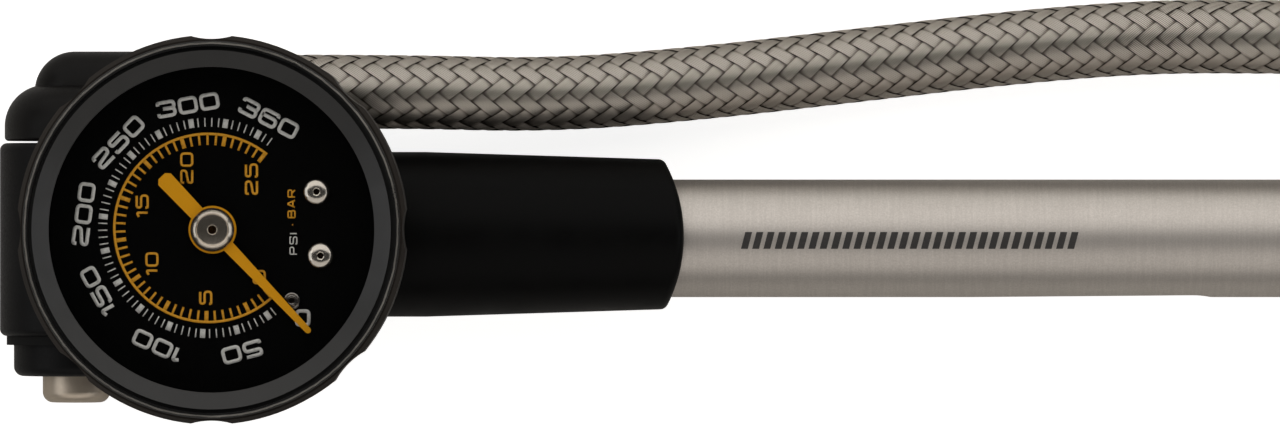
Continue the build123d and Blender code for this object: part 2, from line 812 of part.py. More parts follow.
def link_bar():
    """Link from the curved tube's end block to above the sector's tail."""
    tail = Vector(*SECTOR_PIVOT) + Vector(TAIL_LENGTH, 0).rotate(Axis.Z, TAIL_DIRECTION)
    tip = Vector(BOURDON_R - 1.9, 1.2).rotate(Axis.Z, BOURDON_START + BOURDON_SWEEP)
    run = tip - tail
    middle = (tail + tip) / 2
    angle = math.degrees(math.atan2(run.Y, run.X))
    bar = Pos(middle.X, middle.Y) * Rot(0, 0, angle) * SlotCenterToCenter(run.length, 1.3)
    return Pos(0, 0, LINK_Z) * extrude(bar, 0.35)


def hairspring():
    """Flat spiral spring round the arbor, made of half turns, with the stud that holds its outer end."""
    growth = 0.15
    radius = 1.0
    centre = 0.0
    arcs = []
    for turn in range(7):
        side = 1 if turn % 2 == 0 else -1
        arcs.append(CenterArc((centre, 0), radius, 0 if side > 0 else 180, 180))
        centre += side * growth
        radius += growth
    spiral = trace(arcs, 0.12)
    end = arcs[-1] @ 1
    stud = Pos(end.X, end.Y) * Circle(0.35)
    return Pos(0, 0, 25.9) * (extrude(spiral, 0.3) + extrude(stud, PLATE_HIGH_Z - 25.9))


def pointer():
    """Pointer with a tapered needle, a broad tail and a round middle, at its rest direction."""
    needle = make_face(Polyline((0, 0.8), (17.1, 0.38), (17.1, -0.38), (0, -0.8), close=True))
    needle += Pos(17.1, 0) * Circle(0.38)
    tail = make_face(
        Polyline((0, 0.9), (-8.6, 1.05), (-9.1, 0.55), (-9.1, -0.55), (-8.6, -1.05), (0, -0.9), close=True)
    )
    blade = needle + tail + Circle(2.95) - Circle(0.5)
    return Rot(0, 0, POINTER_REST) * Pos(0, 0, POINTER_Z) * extrude(blade, 0.4)


def pointer_hub():
    """Cap over the pointer's middle, with a dimple."""
    low = POINTER_Z + 0.4
    return turned(
        GAUGE,
        (low, 0),
        (low, 2.7),
        (low + 0.6, 2.7),
        (low + 1.1, 2.1),
        (low + 1.1, 1.95),
        (low + 0.95, 1.9),
        (low + 0.95, 0.55),
        (low + 0.6, 0.4),
        (low + 0.6, 0),
    )


NODES = {
    "head_body": head_body,
    "grip_sleeve": grip_sleeve,
    "barrel": barrel,
    "barrel_seal": barrel_seal,
    "check_valve_seat": check_valve_seat,
    "check_poppet": check_poppet,
    "check_spring": check_spring,
    "rod_guide": rod_guide,
    "rod_bumper": rod_bumper,
    "handle_tube": handle_tube,
    "handle_bush": handle_bush,
    "handle_end_cap": handle_end_cap,
    "cap_plug": cap_plug,
    "piston_rod": piston_rod,
    "rod_nut": rod_nut,
    "piston": piston,
    "piston_seal": piston_seal,
    "swivel_post": swivel_post,
    "swivel_seals": swivel_seals,
    "swivel_retaining_ring": swivel_retaining_ring,
    "swivel_elbow": swivel_elbow,
    "hose_barb": hose_barb,
    "hose_ferrule": hose_ferrule,
    "hose": hose,
    "connector_ferrule": connector_ferrule,
    "connector_body": connector_body,
    "connector_nut": connector_nut,
    "connector_circlip": connector_circlip,
    "connector_seal": connector_seal,
    "depressor_pin": depressor_pin,
    "bleed_washer": bleed_washer,
    "bleed_housing": bleed_housing,
    "bleed_seat": bleed_seat,
    "bleed_seal": bleed_seal,
    "bleed_stem": bleed_stem,
    "bleed_button": bleed_button,
    "bleed_spring": bleed_spring,
    "gauge_seal": gauge_seal,
    "gauge_socket": gauge_socket,
    "gauge_case": gauge_case,
    "rubber_boot": rubber_boot,
    "lens_gasket": lens_gasket,
    "gauge_lens": gauge_lens,
    "bezel_ring": bezel_ring,
    "dial_plate": dial_plate,
    "dial_posts": dial_posts,
    "dial_screws": dial_screws,
    "zero_pin": zero_pin,
    "bourdon_tube": bourdon_tube,
    "bourdon_tip": bourdon_tip,
    "movement_plate_lower": lambda: movement_plate(PLATE_LOW_Z),
    "movement_plate_upper": lambda: movement_plate(PLATE_HIGH_Z),
    "movement_pillars": movement_pillars,
    "movement_screws": movement_screws,
    "pinion_arbor": pinion_arbor,
    "sector_gear": sector_gear,
    "link_bar": link_bar,
    "hairspring": hairspring,
    "pointer": pointer,
    "pointer_hub": pointer_hub,
}

os.makedirs("parts", exist_ok=True)
for name, make in NODES.items():
    export_step(make(), f"parts/{name}.step")
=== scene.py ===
"""The looks of a shock suspension pump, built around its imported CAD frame.

The pump lies on a pale table with its gauge facing up. The CAD parts keep their shape and get their
finishes here. The braided hose, the prints on the dial and on the handle tube, and the small details of
the gauge are modelled here and ride on the CAD bodies.

All lengths are metres. X runs along the handle, Y towards the hose's elbow, and Z up out of the dial.
"""

from __future__ import annotations

import json
import logging
import math
from dataclasses import dataclass, field
from enum import Enum

import bpy
import numpy as np
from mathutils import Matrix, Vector

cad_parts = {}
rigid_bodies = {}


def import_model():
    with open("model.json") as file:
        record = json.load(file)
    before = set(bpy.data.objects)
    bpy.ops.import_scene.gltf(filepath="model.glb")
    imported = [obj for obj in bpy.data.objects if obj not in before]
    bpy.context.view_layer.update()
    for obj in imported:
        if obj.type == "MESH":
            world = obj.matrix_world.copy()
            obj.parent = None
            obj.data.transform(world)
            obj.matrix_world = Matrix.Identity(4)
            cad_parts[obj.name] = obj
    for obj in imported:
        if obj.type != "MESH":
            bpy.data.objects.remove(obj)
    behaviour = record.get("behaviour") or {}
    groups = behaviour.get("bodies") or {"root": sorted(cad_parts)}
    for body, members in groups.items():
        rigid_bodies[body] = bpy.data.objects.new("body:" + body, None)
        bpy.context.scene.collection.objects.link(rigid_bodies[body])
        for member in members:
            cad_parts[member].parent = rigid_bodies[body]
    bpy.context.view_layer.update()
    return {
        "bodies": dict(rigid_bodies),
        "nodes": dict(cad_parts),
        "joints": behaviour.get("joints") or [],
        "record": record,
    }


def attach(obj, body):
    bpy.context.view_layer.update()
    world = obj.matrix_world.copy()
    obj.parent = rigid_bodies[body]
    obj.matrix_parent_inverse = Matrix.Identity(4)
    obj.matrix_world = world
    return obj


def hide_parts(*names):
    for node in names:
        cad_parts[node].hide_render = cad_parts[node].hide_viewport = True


LOG = logging.getLogger("pump")
MM = 0.001
Point = tuple[float, float]
Point3 = tuple[float, float, float]

# Centres of the dial's two screws and of its zero rivet, from the gauge's axis.
DIAL_SCREWS: tuple[Point, ...] = ((12.8 * MM, 4.7 * MM), (13.3 * MM, -3.2 * MM))
ZERO_RIVET: Point = (9.75 * MM, -8.75 * MM)


# --------------------------------------------------------------------------------------------------
# Colour, nodes and small mesh helpers
# --------------------------------------------------------------------------------------------------


def linear(colour: str) -> tuple[float, float, float, float]:
    """Turns an sRGB hex colour into the linear colour that nodes take.

    Args:
        colour: Six hex digits with a leading #.

    Returns:
        Linear red, green and blue, and an alpha of 1.
    """
    channels = [int(colour[i : i + 2], 16) / 255 for i in (1, 3, 5)]
    values = [c / 12.92 if c <= 0.04045 else ((c + 0.055) / 1.055) ** 2.4 for c in channels]
    return (values[0], values[1], values[2], 1.0)


class Graph:
    """The node tree of one material."""

    def __init__(self, name: str) -> None:
        """Makes an empty material with an output node.

        Args:
            name: The material's name.
        """
        self.material = bpy.data.materials.new(name)
        self.material.use_nodes = True
        self.nodes = self.material.node_tree.nodes
        self.links = self.material.node_tree.links
        self.nodes.clear()
        self.output = self.add("ShaderNodeOutputMaterial")

    def add(self, kind: str, settings: dict | None = None, **inputs: object) -> bpy.types.Node:
        """Adds a node.

        Args:
            kind: The node's type.
            settings: Properties of the node itself.
            **inputs: Socket values by name, with _ for a space, or an output socket to link from.
                A name of the form in0 means the socket's number.

        Returns:
            The new node.
        """
        node = self.nodes.new(kind)
        for key, value in (settings or {}).items():
            setattr(node, key, value)
        for key, value in inputs.items():
            number = key[2:]
            if key[:2] == "in" and number.isdigit():
                socket = node.inputs[int(number)]
            else:
                socket = node.inputs[key.replace("_", " ")]
            if isinstance(value, bpy.types.NodeSocket):
                self.links.new(value, socket)
            else:
                socket.default_value = value
        return node

    def maths(self, operation: str, *values: object) -> bpy.types.NodeSocket:
        """Adds a Math node and returns its socket.

        Args:
            operation: The node's operation.
            *values: Its one to three values, each a number or a socket.

        Returns:
            The result's socket.
        """
        inputs = {f"in{k}": value for k, value in enumerate(values)}
        return self.add("ShaderNodeMath", {"operation": operation}, **inputs).outputs[0]

    def blend(self, factor: bpy.types.NodeSocket, first: str, second: str) -> bpy.types.NodeSocket:
        """Mixes two colours.

        Args:
            factor: Where it is 1, the second colour shows.
            first: A hex colour.
            second: A hex colour.

        Returns:
            The mixed colour's socket.
        """
        node = self.add(
            "ShaderNodeMix", {"data_type": "RGBA"}, Factor=factor, in6=linear(first), in7=linear(second)
        )
        return node.outputs[2]

    def ramp(self, value: bpy.types.NodeSocket, stops: list[tuple[float, str]]) -> bpy.types.NodeSocket:
        """Adds a colour ramp.

        Args:
            value: The socket that drives the ramp.
            stops: Positions and hex colours, lowest first.

        Returns:
            The ramp's colour socket.
        """
        node = self.add("ShaderNodeValToRGB", None, Fac=value)
        elements = node.color_ramp.elements
        while len(elements) < len(stops):
            elements.new(0.5)
        for element, (position, colour) in zip(elements, stops):
            element.position = position
            element.color = linear(colour)
        return node.outputs["Color"]

    def place(self) -> bpy.types.NodeSocket:
        """Returns Object coordinates, in metres."""
        return self.add("ShaderNodeTexCoord").outputs["Object"]

    def grain(
        self, size: float, detail: float = 3.0, stretch: Point3 = (1.0, 1.0, 1.0)
    ) -> bpy.types.NodeSocket:
        """Adds noise whose lumps are about one size.

        Args:
            size: The size of a lump, in metres.
            detail: Octaves of finer noise in it.
            stretch: Scale along each axis, below 1 to draw the lumps out.

        Returns:
            The noise's value socket.
        """
        mapping = self.add("ShaderNodeMapping", None, Vector=self.place(), Scale=stretch)
        spot = mapping.outputs[0]
        return self.add("ShaderNodeTexNoise", None, Vector=spot, Scale=1.0 / size, Detail=detail).outputs[0]

    def bump(self, height: bpy.types.NodeSocket, strength: float, depth: float) -> bpy.types.NodeSocket:
        """Adds a bump.

        Args:
            height: The height socket.
            strength: How much of the bump counts, 0 to 1.
            depth: Its full height, in metres.

        Returns:
            The normal socket.
        """
        return self.add("ShaderNodeBump", None, Height=height, Strength=strength, Distance=depth).outputs[0]

    def level(
        self, value: bpy.types.NodeSocket, start: float, end: float, low: float, high: float
    ) -> bpy.types.NodeSocket:
        """Maps one range of a value onto another, and holds it at both ends.

        Args:
            value: The socket to map.
            start: The value that becomes low.
            end: The value that becomes high.
            low: What start becomes.
            high: What end becomes.

        Returns:
            The mapped value's socket.
        """
        inputs = {"in1": start, "in2": end, "in3": low, "in4": high}
        return self.add("ShaderNodeMapRange", None, Value=value, **inputs).outputs[0]

    def spread(self, value: bpy.types.NodeSocket, low: float, high: float) -> bpy.types.NodeSocket:
        """Maps the middle of a noise's range onto low to high."""
        return self.level(value, 0.3, 0.7, low, high)

    def surface(self, **inputs: object) -> bpy.types.Material:
        """Adds the Principled shader and finishes the material.

        Args:
            **inputs: The shader's inputs, as for add.

        Returns:
            The material.
        """
        shader = self.add("ShaderNodeBsdfPrincipled", None, **inputs)
        self.links.new(shader.outputs[0], self.output.inputs[0])
        return self.material


def select_only(*pieces: bpy.types.Object) -> None:
    """Deselects everything, then selects these pieces and makes the first active.

    Args:
        *pieces: The pieces to select.
    """
    bpy.ops.object.select_all(action="DESELECT")
    for piece in pieces:
        piece.select_set(True)
    bpy.context.view_layer.objects.active = pieces[0]


def mesh_piece(name: str, points: np.ndarray, faces: list[tuple[int, ...]] | np.ndarray) -> bpy.types.Object:
    """Makes an object from points and faces.

    Args:
        name: The object's name.
        points: Its vertices, one row each.
        faces: Vertex numbers, one row for each face.

    Returns:
        The object, linked to the scene.
    """
    mesh = bpy.data.meshes.new(name)
    rows = faces.tolist() if isinstance(faces, np.ndarray) else faces
    mesh.from_pydata(points.tolist(), [], rows)
    mesh.update()
    piece = bpy.data.objects.new(name, mesh)
    bpy.context.scene.collection.objects.link(piece)
    return piece


def bake_place(piece: bpy.types.Object) -> None:
    """Moves an object's place, turn and scale into its mesh."""
    select_only(piece)
    bpy.ops.object.transform_apply(location=True, rotation=True, scale=True)


def join(name: str, pieces: list[bpy.types.Object]) -> bpy.types.Object:
    """Joins pieces into the first.

    Args:
        name: The joined piece's name.
        pieces: One piece or more.

    Returns:
        The joined piece.
    """
    select_only(*pieces)
    if len(pieces) > 1:
        bpy.ops.object.join()
    joined = bpy.context.view_layer.objects.active
    joined.name = name
    joined.data.name = name
    return joined


def smooth(piece: bpy.types.Object, degrees: float = 35.0) -> None:
    """Shades a piece smooth, but for edges sharper than an angle."""
    select_only(piece)
    bpy.ops.object.shade_smooth_by_angle(angle=math.radians(degrees))


def spun(name: str, outline: list[Point], centre: Point3, axis: Point3, steps: int = 72) -> bpy.types.Object:
    """Turns a closed outline right round an axis.

    Args:
        name: The object's name.
        outline: (along, radius) points, in order round the section.
        centre: A point on the axis.
        axis: The axis, X or Z.
        steps: Faces round it.

    Returns:
        The closed piece, with its faces outwards.
    """
    middle = Vector(centre)
    along = Vector(axis)
    side = Vector((0.0, 0.0, 1.0)) if axis[0] else Vector((1.0, 0.0, 0.0))
    rows = [tuple(middle + along * x + side * r) for x, r in outline]
    mesh = bpy.data.meshes.new(name)
    last = len(rows) - 1
    ends_on_axis = outline[0][1] < 1e-9 and outline[last][1] < 1e-9
    edges = [(k, k + 1) for k in range(last)] + ([] if ends_on_axis else [(last, 0)])
    mesh.from_pydata(rows, edges, [])
    piece = bpy.data.objects.new(name, mesh)
    bpy.context.scene.collection.objects.link(piece)
    select_only(piece)
    bpy.ops.object.mode_set(mode="EDIT")
    bpy.ops.mesh.select_all(action="SELECT")
    bpy.ops.mesh.spin(steps=steps, angle=2 * math.pi, center=centre, axis=axis)
    bpy.ops.mesh.select_all(action="SELECT")
    bpy.ops.mesh.remove_doubles(threshold=1e-6)
    bpy.ops.mesh.normals_make_consistent(inside=False)
    bpy.ops.object.mode_set(mode="OBJECT")
    return piece


# --------------------------------------------------------------------------------------------------
# Finishes
# --------------------------------------------------------------------------------------------------


@dataclass(frozen=True)
class Finish:
    """One finish, named for what the real surface is."""

    name: str

    def build(self) -> bpy.types.Material:
        """Makes the material."""
        raise NotImplementedError


@dataclass(frozen=True)
class MouldedPlastic(Finish):
    """Glass-filled nylon out of a spark-eroded mould: a fine even grain, and a broad soft sheen."""

    colour: str
    lighter: str
    roughness: float = 0.5
    grain: float = 0.32 * MM
    depth: float = 0.02 * MM
    gloss: float = 0.1

    def build(self) -> bpy.types.Material:
        """Makes the material, with faint flow clouds in its colour and a fine grain in its surface.

        Returns:
            The material.
        """
        graph = Graph(self.name)
        cloud = graph.grain(9 * MM, 2.0)
        fine = graph.grain(self.grain, 2.0)
        return graph.surface(
            Base_Color=graph.ramp(cloud, [(0.3, self.colour), (0.75, self.lighter)]),
            Roughness=graph.spread(fine, self.roughness - 0.07, self.roughness + 0.07),
            IOR=1.53,
            Specular_IOR_Level=self.gloss,
            Normal=graph.bump(fine, 0.5, self.depth),
        )


@dataclass(frozen=True)
class SoftRubber(Finish):
    """Moulded elastomer: dark, dry and slightly dusty, with a weak wide highlight."""

    colour: str
    dusty: str
    roughness: float
    sheen: float = 0.0
    grain: float = 0.5 * MM
    gloss: float = 0.09

    def build(self) -> bpy.types.Material:
        """Makes the material, with a bloom of dust in patches.

        Returns:
            The material.
        """
        graph = Graph(self.name)
        patch = graph.grain(6 * MM, 4.0)
        fine = graph.grain(self.grain, 3.0)
        return graph.surface(
            Base_Color=graph.ramp(patch, [(0.35, self.colour), (0.8, self.dusty)]),
            Roughness=graph.spread(patch, self.roughness - 0.05, self.roughness + 0.08),
            IOR=1.5,
            Specular_IOR_Level=self.gloss,
            Sheen_Weight=self.sheen,
            Sheen_Roughness=0.4,
            Normal=graph.bump(fine, 0.35, 0.012 * MM),
        )


@dataclass(frozen=True)
class BlastedMetal(Finish):
    """Metal that was bead blasted, then anodised or plated: a warm satin without direction."""

    colour: str
    shade: str
    roughness: float
    grain: float = 0.22 * MM
    depth: float = 0.01 * MM

    def build(self) -> bpy.types.Material:
        """Makes the material, with a blasted grain and slow changes of tone.

        Returns:
            The material.
        """
        graph = Graph(self.name)
        slow = graph.grain(14 * MM, 2.0, (0.35, 1.0, 1.0))
        fine = graph.grain(self.grain, 2.0)
        return graph.surface(
            Base_Color=graph.ramp(slow, [(0.3, self.colour), (0.8, self.shade)]),
            Metallic=1.0,
            Roughness=graph.spread(fine, self.roughness - 0.04, self.roughness + 0.04),
            Normal=graph.bump(fine, 0.5, self.depth),
        )


@dataclass(frozen=True)
class DrawnTube(Finish):
    """Aluminium tube, brushed round and clear anodised: warm satin, with faint brush lines round it."""

    colour: str
    streak: str
    roughness: float
    line: float = 0.3 * MM
    grain: float = 0.2 * MM

    def build(self) -> bpy.types.Material:
        """Makes the material. The brush lines are wider than real ones so that they show.

        Returns:
            The material.
        """
        graph = Graph(self.name)
        lines = graph.grain(self.line, 3.0, (1.0, 0.05, 0.05))
        fine = graph.grain(self.grain, 2.0)
        both = graph.maths("MULTIPLY_ADD", lines, 0.7, fine)
        return graph.surface(
            Base_Color=graph.ramp(both, [(0.5, self.colour), (1.0, self.streak)]),
            Metallic=1.0,
            Roughness=graph.spread(fine, self.roughness - 0.06, self.roughness + 0.06),
            Normal=graph.bump(both, 0.4, 0.008 * MM),
        )


@dataclass(frozen=True)
class TurnedMetal(Finish):
    """Metal turned on a lathe: fine tool rings run round the work's axis, and stretch its highlights."""

    colour: str
    shade: str
    roughness: float
    axis: Point3 = (1.0, 0.0, 0.0)
    rings: float = 0.16 * MM

    def build(self) -> bpy.types.Material:
        """Makes the material, with rings along the axis that are coarser than real ones so that they show.

        Returns:
            The material.
        """
        graph = Graph(self.name)
        stretch = tuple(1.0 if a else 0.02 for a in self.axis)
        ring = graph.grain(self.rings, 3.0, stretch)
        slow = graph.grain(5 * MM, 2.0)
        return graph.surface(
            Base_Color=graph.ramp(slow, [(0.3, self.colour), (0.8, self.shade)]),
            Metallic=1.0,
            Roughness=graph.spread(ring, self.roughness - 0.05, self.roughness + 0.07),
            Normal=graph.bump(ring, 0.4, 0.006 * MM),
        )


@dataclass(frozen=True)
class Enamel(Finish):
    """Stoved paint on steel: an even colour with a little orange peel under its gloss."""

    colour: str
    roughness: float
    gloss: float = 0.5
    peel: float = 0.9 * MM

    def build(self) -> bpy.types.Material:
        """Makes the material, with orange peel and a trace of dust.

        Returns:
            The material.
        """
        graph = Graph(self.name)
        peel = graph.grain(self.peel, 2.0)
        dust = graph.grain(3 * MM, 5.0)
        return graph.surface(
            Base_Color=linear(self.colour),
            Roughness=graph.spread(dust, self.roughness - 0.03, self.roughness + 0.05),
            IOR=1.5,
            Specular_IOR_Level=self.gloss,
            Normal=graph.bump(peel, 0.25, 0.008 * MM),
        )


@dataclass(frozen=True)
class RimEnamelPaintedHighlight(Finish):
    """Black paint on the gauge's rolled rim, with a painted highlight in the colour of bright steel along
    its outer edge.
    """

    colour: str
    highlight_colour: str
    edge: float
    width: float
    top: float
    ragged: float = 0.16 * MM

    def build(self) -> bpy.types.Material:
        """Makes the material, with the painted highlight where the distance from the gauge's axis is near
        the rolled edge.

        Returns:
            The material.
        """
        graph = Graph(self.name)
        split = graph.add("ShaderNodeSeparateXYZ", None, Vector=graph.place())
        flat = graph.add("ShaderNodeCombineXYZ", None, X=split.outputs["X"], Y=split.outputs["Y"])
        radius = graph.add("ShaderNodeVectorMath", {"operation": "LENGTH"}, in0=flat.outputs[0])
        # Mask of the painted highlight: near the rolled edge's radius, with a ragged border, and above the
        # rim's top height.
        ragged = graph.grain(1.4 * MM, 4.0)
        shifted = graph.maths("MULTIPLY_ADD", ragged, self.ragged, radius.outputs["Value"])
        near = graph.maths("COMPARE", shifted, self.edge + self.ragged / 2, self.width)
        high = graph.maths("GREATER_THAN", split.outputs["Z"], self.top)
        lighter = graph.maths("MULTIPLY", near, high)
        dust = graph.grain(3 * MM, 5.0)
        return graph.surface(
            Base_Color=graph.blend(lighter, self.colour, self.highlight_colour),
            Metallic=lighter,
            Roughness=graph.spread(dust, 0.27, 0.36),
            IOR=1.5,
        )


@dataclass(frozen=True)
class SteelShadedSockets(Finish):
    """Nickel-plated screws: bright domes, with dull brown painted shade in their sockets and hollows."""

    colour: str
    socket: str
    centres: tuple[Point, ...]
    socket_radius: float

    def build(self) -> bpy.types.Material:
        """Makes the material, dark within the socket's radius of each screw's centre, as painted shade in
        the socket.

        Returns:
            The material.
        """
        graph = Graph(self.name)
        place = graph.place()
        # Mask of the painted shade: within the socket's radius of any centre.
        inside = None
        for x, y in self.centres:
            moved = graph.add(
                "ShaderNodeMapping", None, Vector=place, Location=(-x, -y, 0.0), Scale=(1.0, 1.0, 0.0)
            )
            radius = graph.add("ShaderNodeVectorMath", {"operation": "LENGTH"}, in0=moved.outputs[0])
            near = graph.maths("LESS_THAN", radius.outputs["Value"], self.socket_radius)
            inside = near if inside is None else graph.maths("MAXIMUM", inside, near)
        fine = graph.grain(0.12 * MM, 2.0)
        return graph.surface(
            Base_Color=graph.blend(inside, self.colour, self.socket),
            Metallic=1.0,
            Roughness=graph.spread(fine, 0.17, 0.24),
            Normal=graph.bump(fine, 0.3, 0.001 * MM),
        )


@dataclass(frozen=True)
class ClearPlastic(Finish):
    """Clear polycarbonate over the dial: nearly invisible from the front, with a weak reflection."""

    alpha: float = 0.05

    def build(self) -> bpy.types.Material:
        """Makes the material, thin enough that the dial's colours keep their depth.

        Returns:
            The material.
        """
        graph = Graph(self.name)
        smear = graph.grain(8 * MM, 4.0)
        material = graph.surface(
            Base_Color=linear("#050606"),
            Roughness=graph.spread(smear, 0.03, 0.09),
            IOR=1.58,
            Alpha=self.alpha,
        )
        material.surface_render_method = "BLENDED"
        return material


@dataclass(frozen=True)
class BraidWirePaintedLight(Finish):
    """Stainless wire, laid side by side in flat bands: a painted highlight along each wire's top, and dark
    brown painted shade in the grooves between wires, at the bands' edges and where a band passes under
    another.
    """

    bright: str
    mid: str
    gap: str
    wires: int

    def build(self) -> bpy.types.Material:
        """Makes the material, from the band's own map, whose V counts wires across the band, and from the
        band's lift, which the painted shade follows.

        Returns:
            The material.
        """
        graph = Graph(self.name)
        uv = graph.add("ShaderNodeUVMap", {"uv_map": "band"})
        split = graph.add("ShaderNodeSeparateXYZ", None, Vector=uv.outputs[0])
        # Painted highlight on each wire's crown, painted shade in the grooves between wires.
        wave = graph.maths("COSINE", graph.maths("MULTIPLY", split.outputs["Y"], 2 * math.pi * self.wires))
        across = graph.level(wave, -1.0, 1.0, 1.0, 0.0)
        # Painted shade where the band dips under a crossing band.
        lift = graph.add("ShaderNodeAttribute", {"attribute_name": "lift"}).outputs["Fac"]
        high = graph.level(lift, -1.0, 0.7, 0.0, 1.0)
        # Painted shade towards the band's edges.
        side = graph.maths("ABSOLUTE", graph.maths("SUBTRACT", split.outputs["Y"], 0.5))
        inner = graph.level(side, 0.40, 0.5, 1.0, 0.35)
        stretch = (0.25, 2.0 * self.wires, 1.0)
        strands = graph.add("ShaderNodeMapping", None, Vector=uv.outputs[0], Scale=stretch).outputs[0]
        scratch = graph.add("ShaderNodeTexNoise", None, Vector=strands, Scale=1.0, Detail=2.0).outputs[0]
        painted_light_tone = graph.maths("MULTIPLY", graph.maths("MULTIPLY_ADD", scratch, 0.6, across), inner)
        cover = graph.maths("MULTIPLY", painted_light_tone, high)
        return graph.surface(
            Base_Color=graph.ramp(cover, [(0.22, self.gap), (0.6, self.mid), (1.0, self.bright)]),
            Metallic=1.0,
            Roughness=graph.spread(scratch, 0.34, 0.46),
        )


@dataclass(frozen=True)
class PrintInk(Finish):
    """Pad-printed ink: a thin flat film with a dull surface and slightly uneven cover."""

    colour: str
    thin: str

    def build(self) -> bpy.types.Material:
        """Makes the material, a little thinner in places.

        Returns:
            The material.
        """
        graph = Graph(self.name)
        cover = graph.grain(0.35 * MM, 3.0)
        return graph.surface(
            Base_Color=graph.ramp(cover, [(0.25, self.thin), (0.5, self.colour)]), Roughness=0.55, IOR=1.5
        )


class Palette:
    """Every finish of the pump, by the record's material slot, and each one's material."""

    def __init__(self) -> None:
        """Lists the finishes."""
        self.finishes: dict[str, Finish] = {
            "black_nylon": MouldedPlastic("black_glass_filled_nylon", "#0e0e0f", "#131314", 0.45),
            "elbow_black": MouldedPlastic("black_swivel_nylon", "#0f0e0e", "#151413", 0.4),
            "guide_plastic": MouldedPlastic("white_acetal", "#dcdad2", "#e8e6df", 0.4),
            "grip_elastomer": SoftRubber("soft_touch_grip", "#070707", "#0a0a0a", 0.42, gloss=0.06),
            "seal_rubber": SoftRubber("nitrile_rubber", "#121212", "#191919", 0.6),
            "boot_rubber": SoftRubber("black_boot_rubber", "#211d1a", "#2d2824", 0.5, 0.05, gloss=0.14),
            "anodised_barrel": BlastedMetal("grey_anodised_barrel", "#9a9692", "#8c8884", 0.4),
            "satin_aluminium": DrawnTube("drawn_anodised_tube", "#d2ccc6", "#c4beb8", 0.46),
            "nut_aluminium": TurnedMetal("turned_nut_aluminium", "#cfcac1", "#bcb6ab", 0.3),
            "valve_brass": TurnedMetal("turned_brass", "#c9a55c", "#b48f4a", 0.28),
            "rod_steel": TurnedMetal("hard_chromed_steel", "#d5d5d4", "#c8c8c6", 0.16),
            "crimp_steel": TurnedMetal("crimped_stainless_steel", "#bdb6ac", "#a8a196", 0.3),
            "spring_steel": TurnedMetal("spring_wire_steel", "#a9a6a1", "#8f8b85", 0.3),
            "button_nickel": BlastedMetal(
                "satin_nickel_button", "#c9bdae", "#b8ab9a", 0.42, 0.35 * MM, 0.004 * MM
            ),
            # The rim's second colour, #b9b5ae, is a painted highlight along the rolled edge.
            "case_enamel": RimEnamelPaintedHighlight(
                "black_rim_enamel_painted_highlight", "#0b0b0b", "#b9b5ae", 22.95 * MM, 0.1 * MM, 34.3 * MM
            ),
            "bezel_enamel": Enamel("satin_black_bezel_enamel", "#141414", 0.36, 0.5),
            "dial_enamel": Enamel("flat_black_dial_enamel", "#020202", 0.6, 0.03),
            "pointer_enamel": Enamel("yellow_pointer_enamel", "#e09c08", 0.55, 0.2),
            "clear_lens": ClearPlastic("clear_polycarbonate"),
            # The second colours of the screws, the pointer's cap and the rivet are painted shade in their
            # sockets and hollows.
            "screw_steel": SteelShadedSockets("nickel_plated_screws", "#d8d1c6", "#3a2a1c", DIAL_SCREWS, 0.4 * MM),
            "cap_steel": SteelShadedSockets(
                "nickel_plated_pointer_cap", "#d2c8ba", "#5a3e20", ((0.0, 0.0),), 0.55 * MM
            ),
            "rivet_steel": SteelShadedSockets("dull_steel_rivet", "#8d8984", "#2c221a", (ZERO_RIVET,), 0.3 * MM),
            # The braid's bright colour is a painted highlight on the wires' crowns; its gap colour is
            # painted shade in the grooves, at band edges and under crossing bands.
            "steel_braid": BraidWirePaintedLight("stainless_braid_wire", "#e2dbd1", "#7d746b", "#0e0b08", 7),
            "scale_ink": PrintInk("grey_scale_ink", "#d6d6d2", "#bcbcb8"),
            "bar_ink": PrintInk("yellow_scale_ink", "#e09c08", "#c08406"),
            "tube_ink": PrintInk("dark_grey_tube_ink", "#2a2827", "#363331"),
            "inner_hose": SoftRubber("black_inner_hose", "#15120f", "#1d1915", 0.55),
        }
        self.made: dict[str, bpy.types.Material] = {}

    def material(self, key: str) -> bpy.types.Material:
        """Returns a finish's material, making it the first time.

        Args:
            key: The finish's name in this palette.

        Returns:
            The material.
        """
        if key not in self.made:
            self.made[key] = self.finishes[key].build()
        return self.made[key]

    def dress(self, piece: bpy.types.Object, key: str) -> None:
        """Gives a new piece its material.

        Args:
            piece: The piece.
            key: The finish's name in this palette.
        """
        piece.data.materials.clear()
        piece.data.materials.append(self.material(key))

    def dress_nodes(self, frame: dict) -> None:
        """Gives each CAD node the material of its own slot in the record.

        Args:
            frame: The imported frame, as loaded.
        """
        for row in frame["record"]["subparts"]:
            node = frame["nodes"][row["node"]]
            node.data.materials.clear()
            node.data.materials.append(self.material(row["material_slot"]))
            LOG.info("%s: %s", row["node"], self.finishes[row["material_slot"]].name)


# --------------------------------------------------------------------------------------------------
# The hose and its braid
# --------------------------------------------------------------------------------------------------


class Lay(Enum):
    """Which way a band of the braid turns about the hose."""

    RIGHT = 1
    LEFT = -1


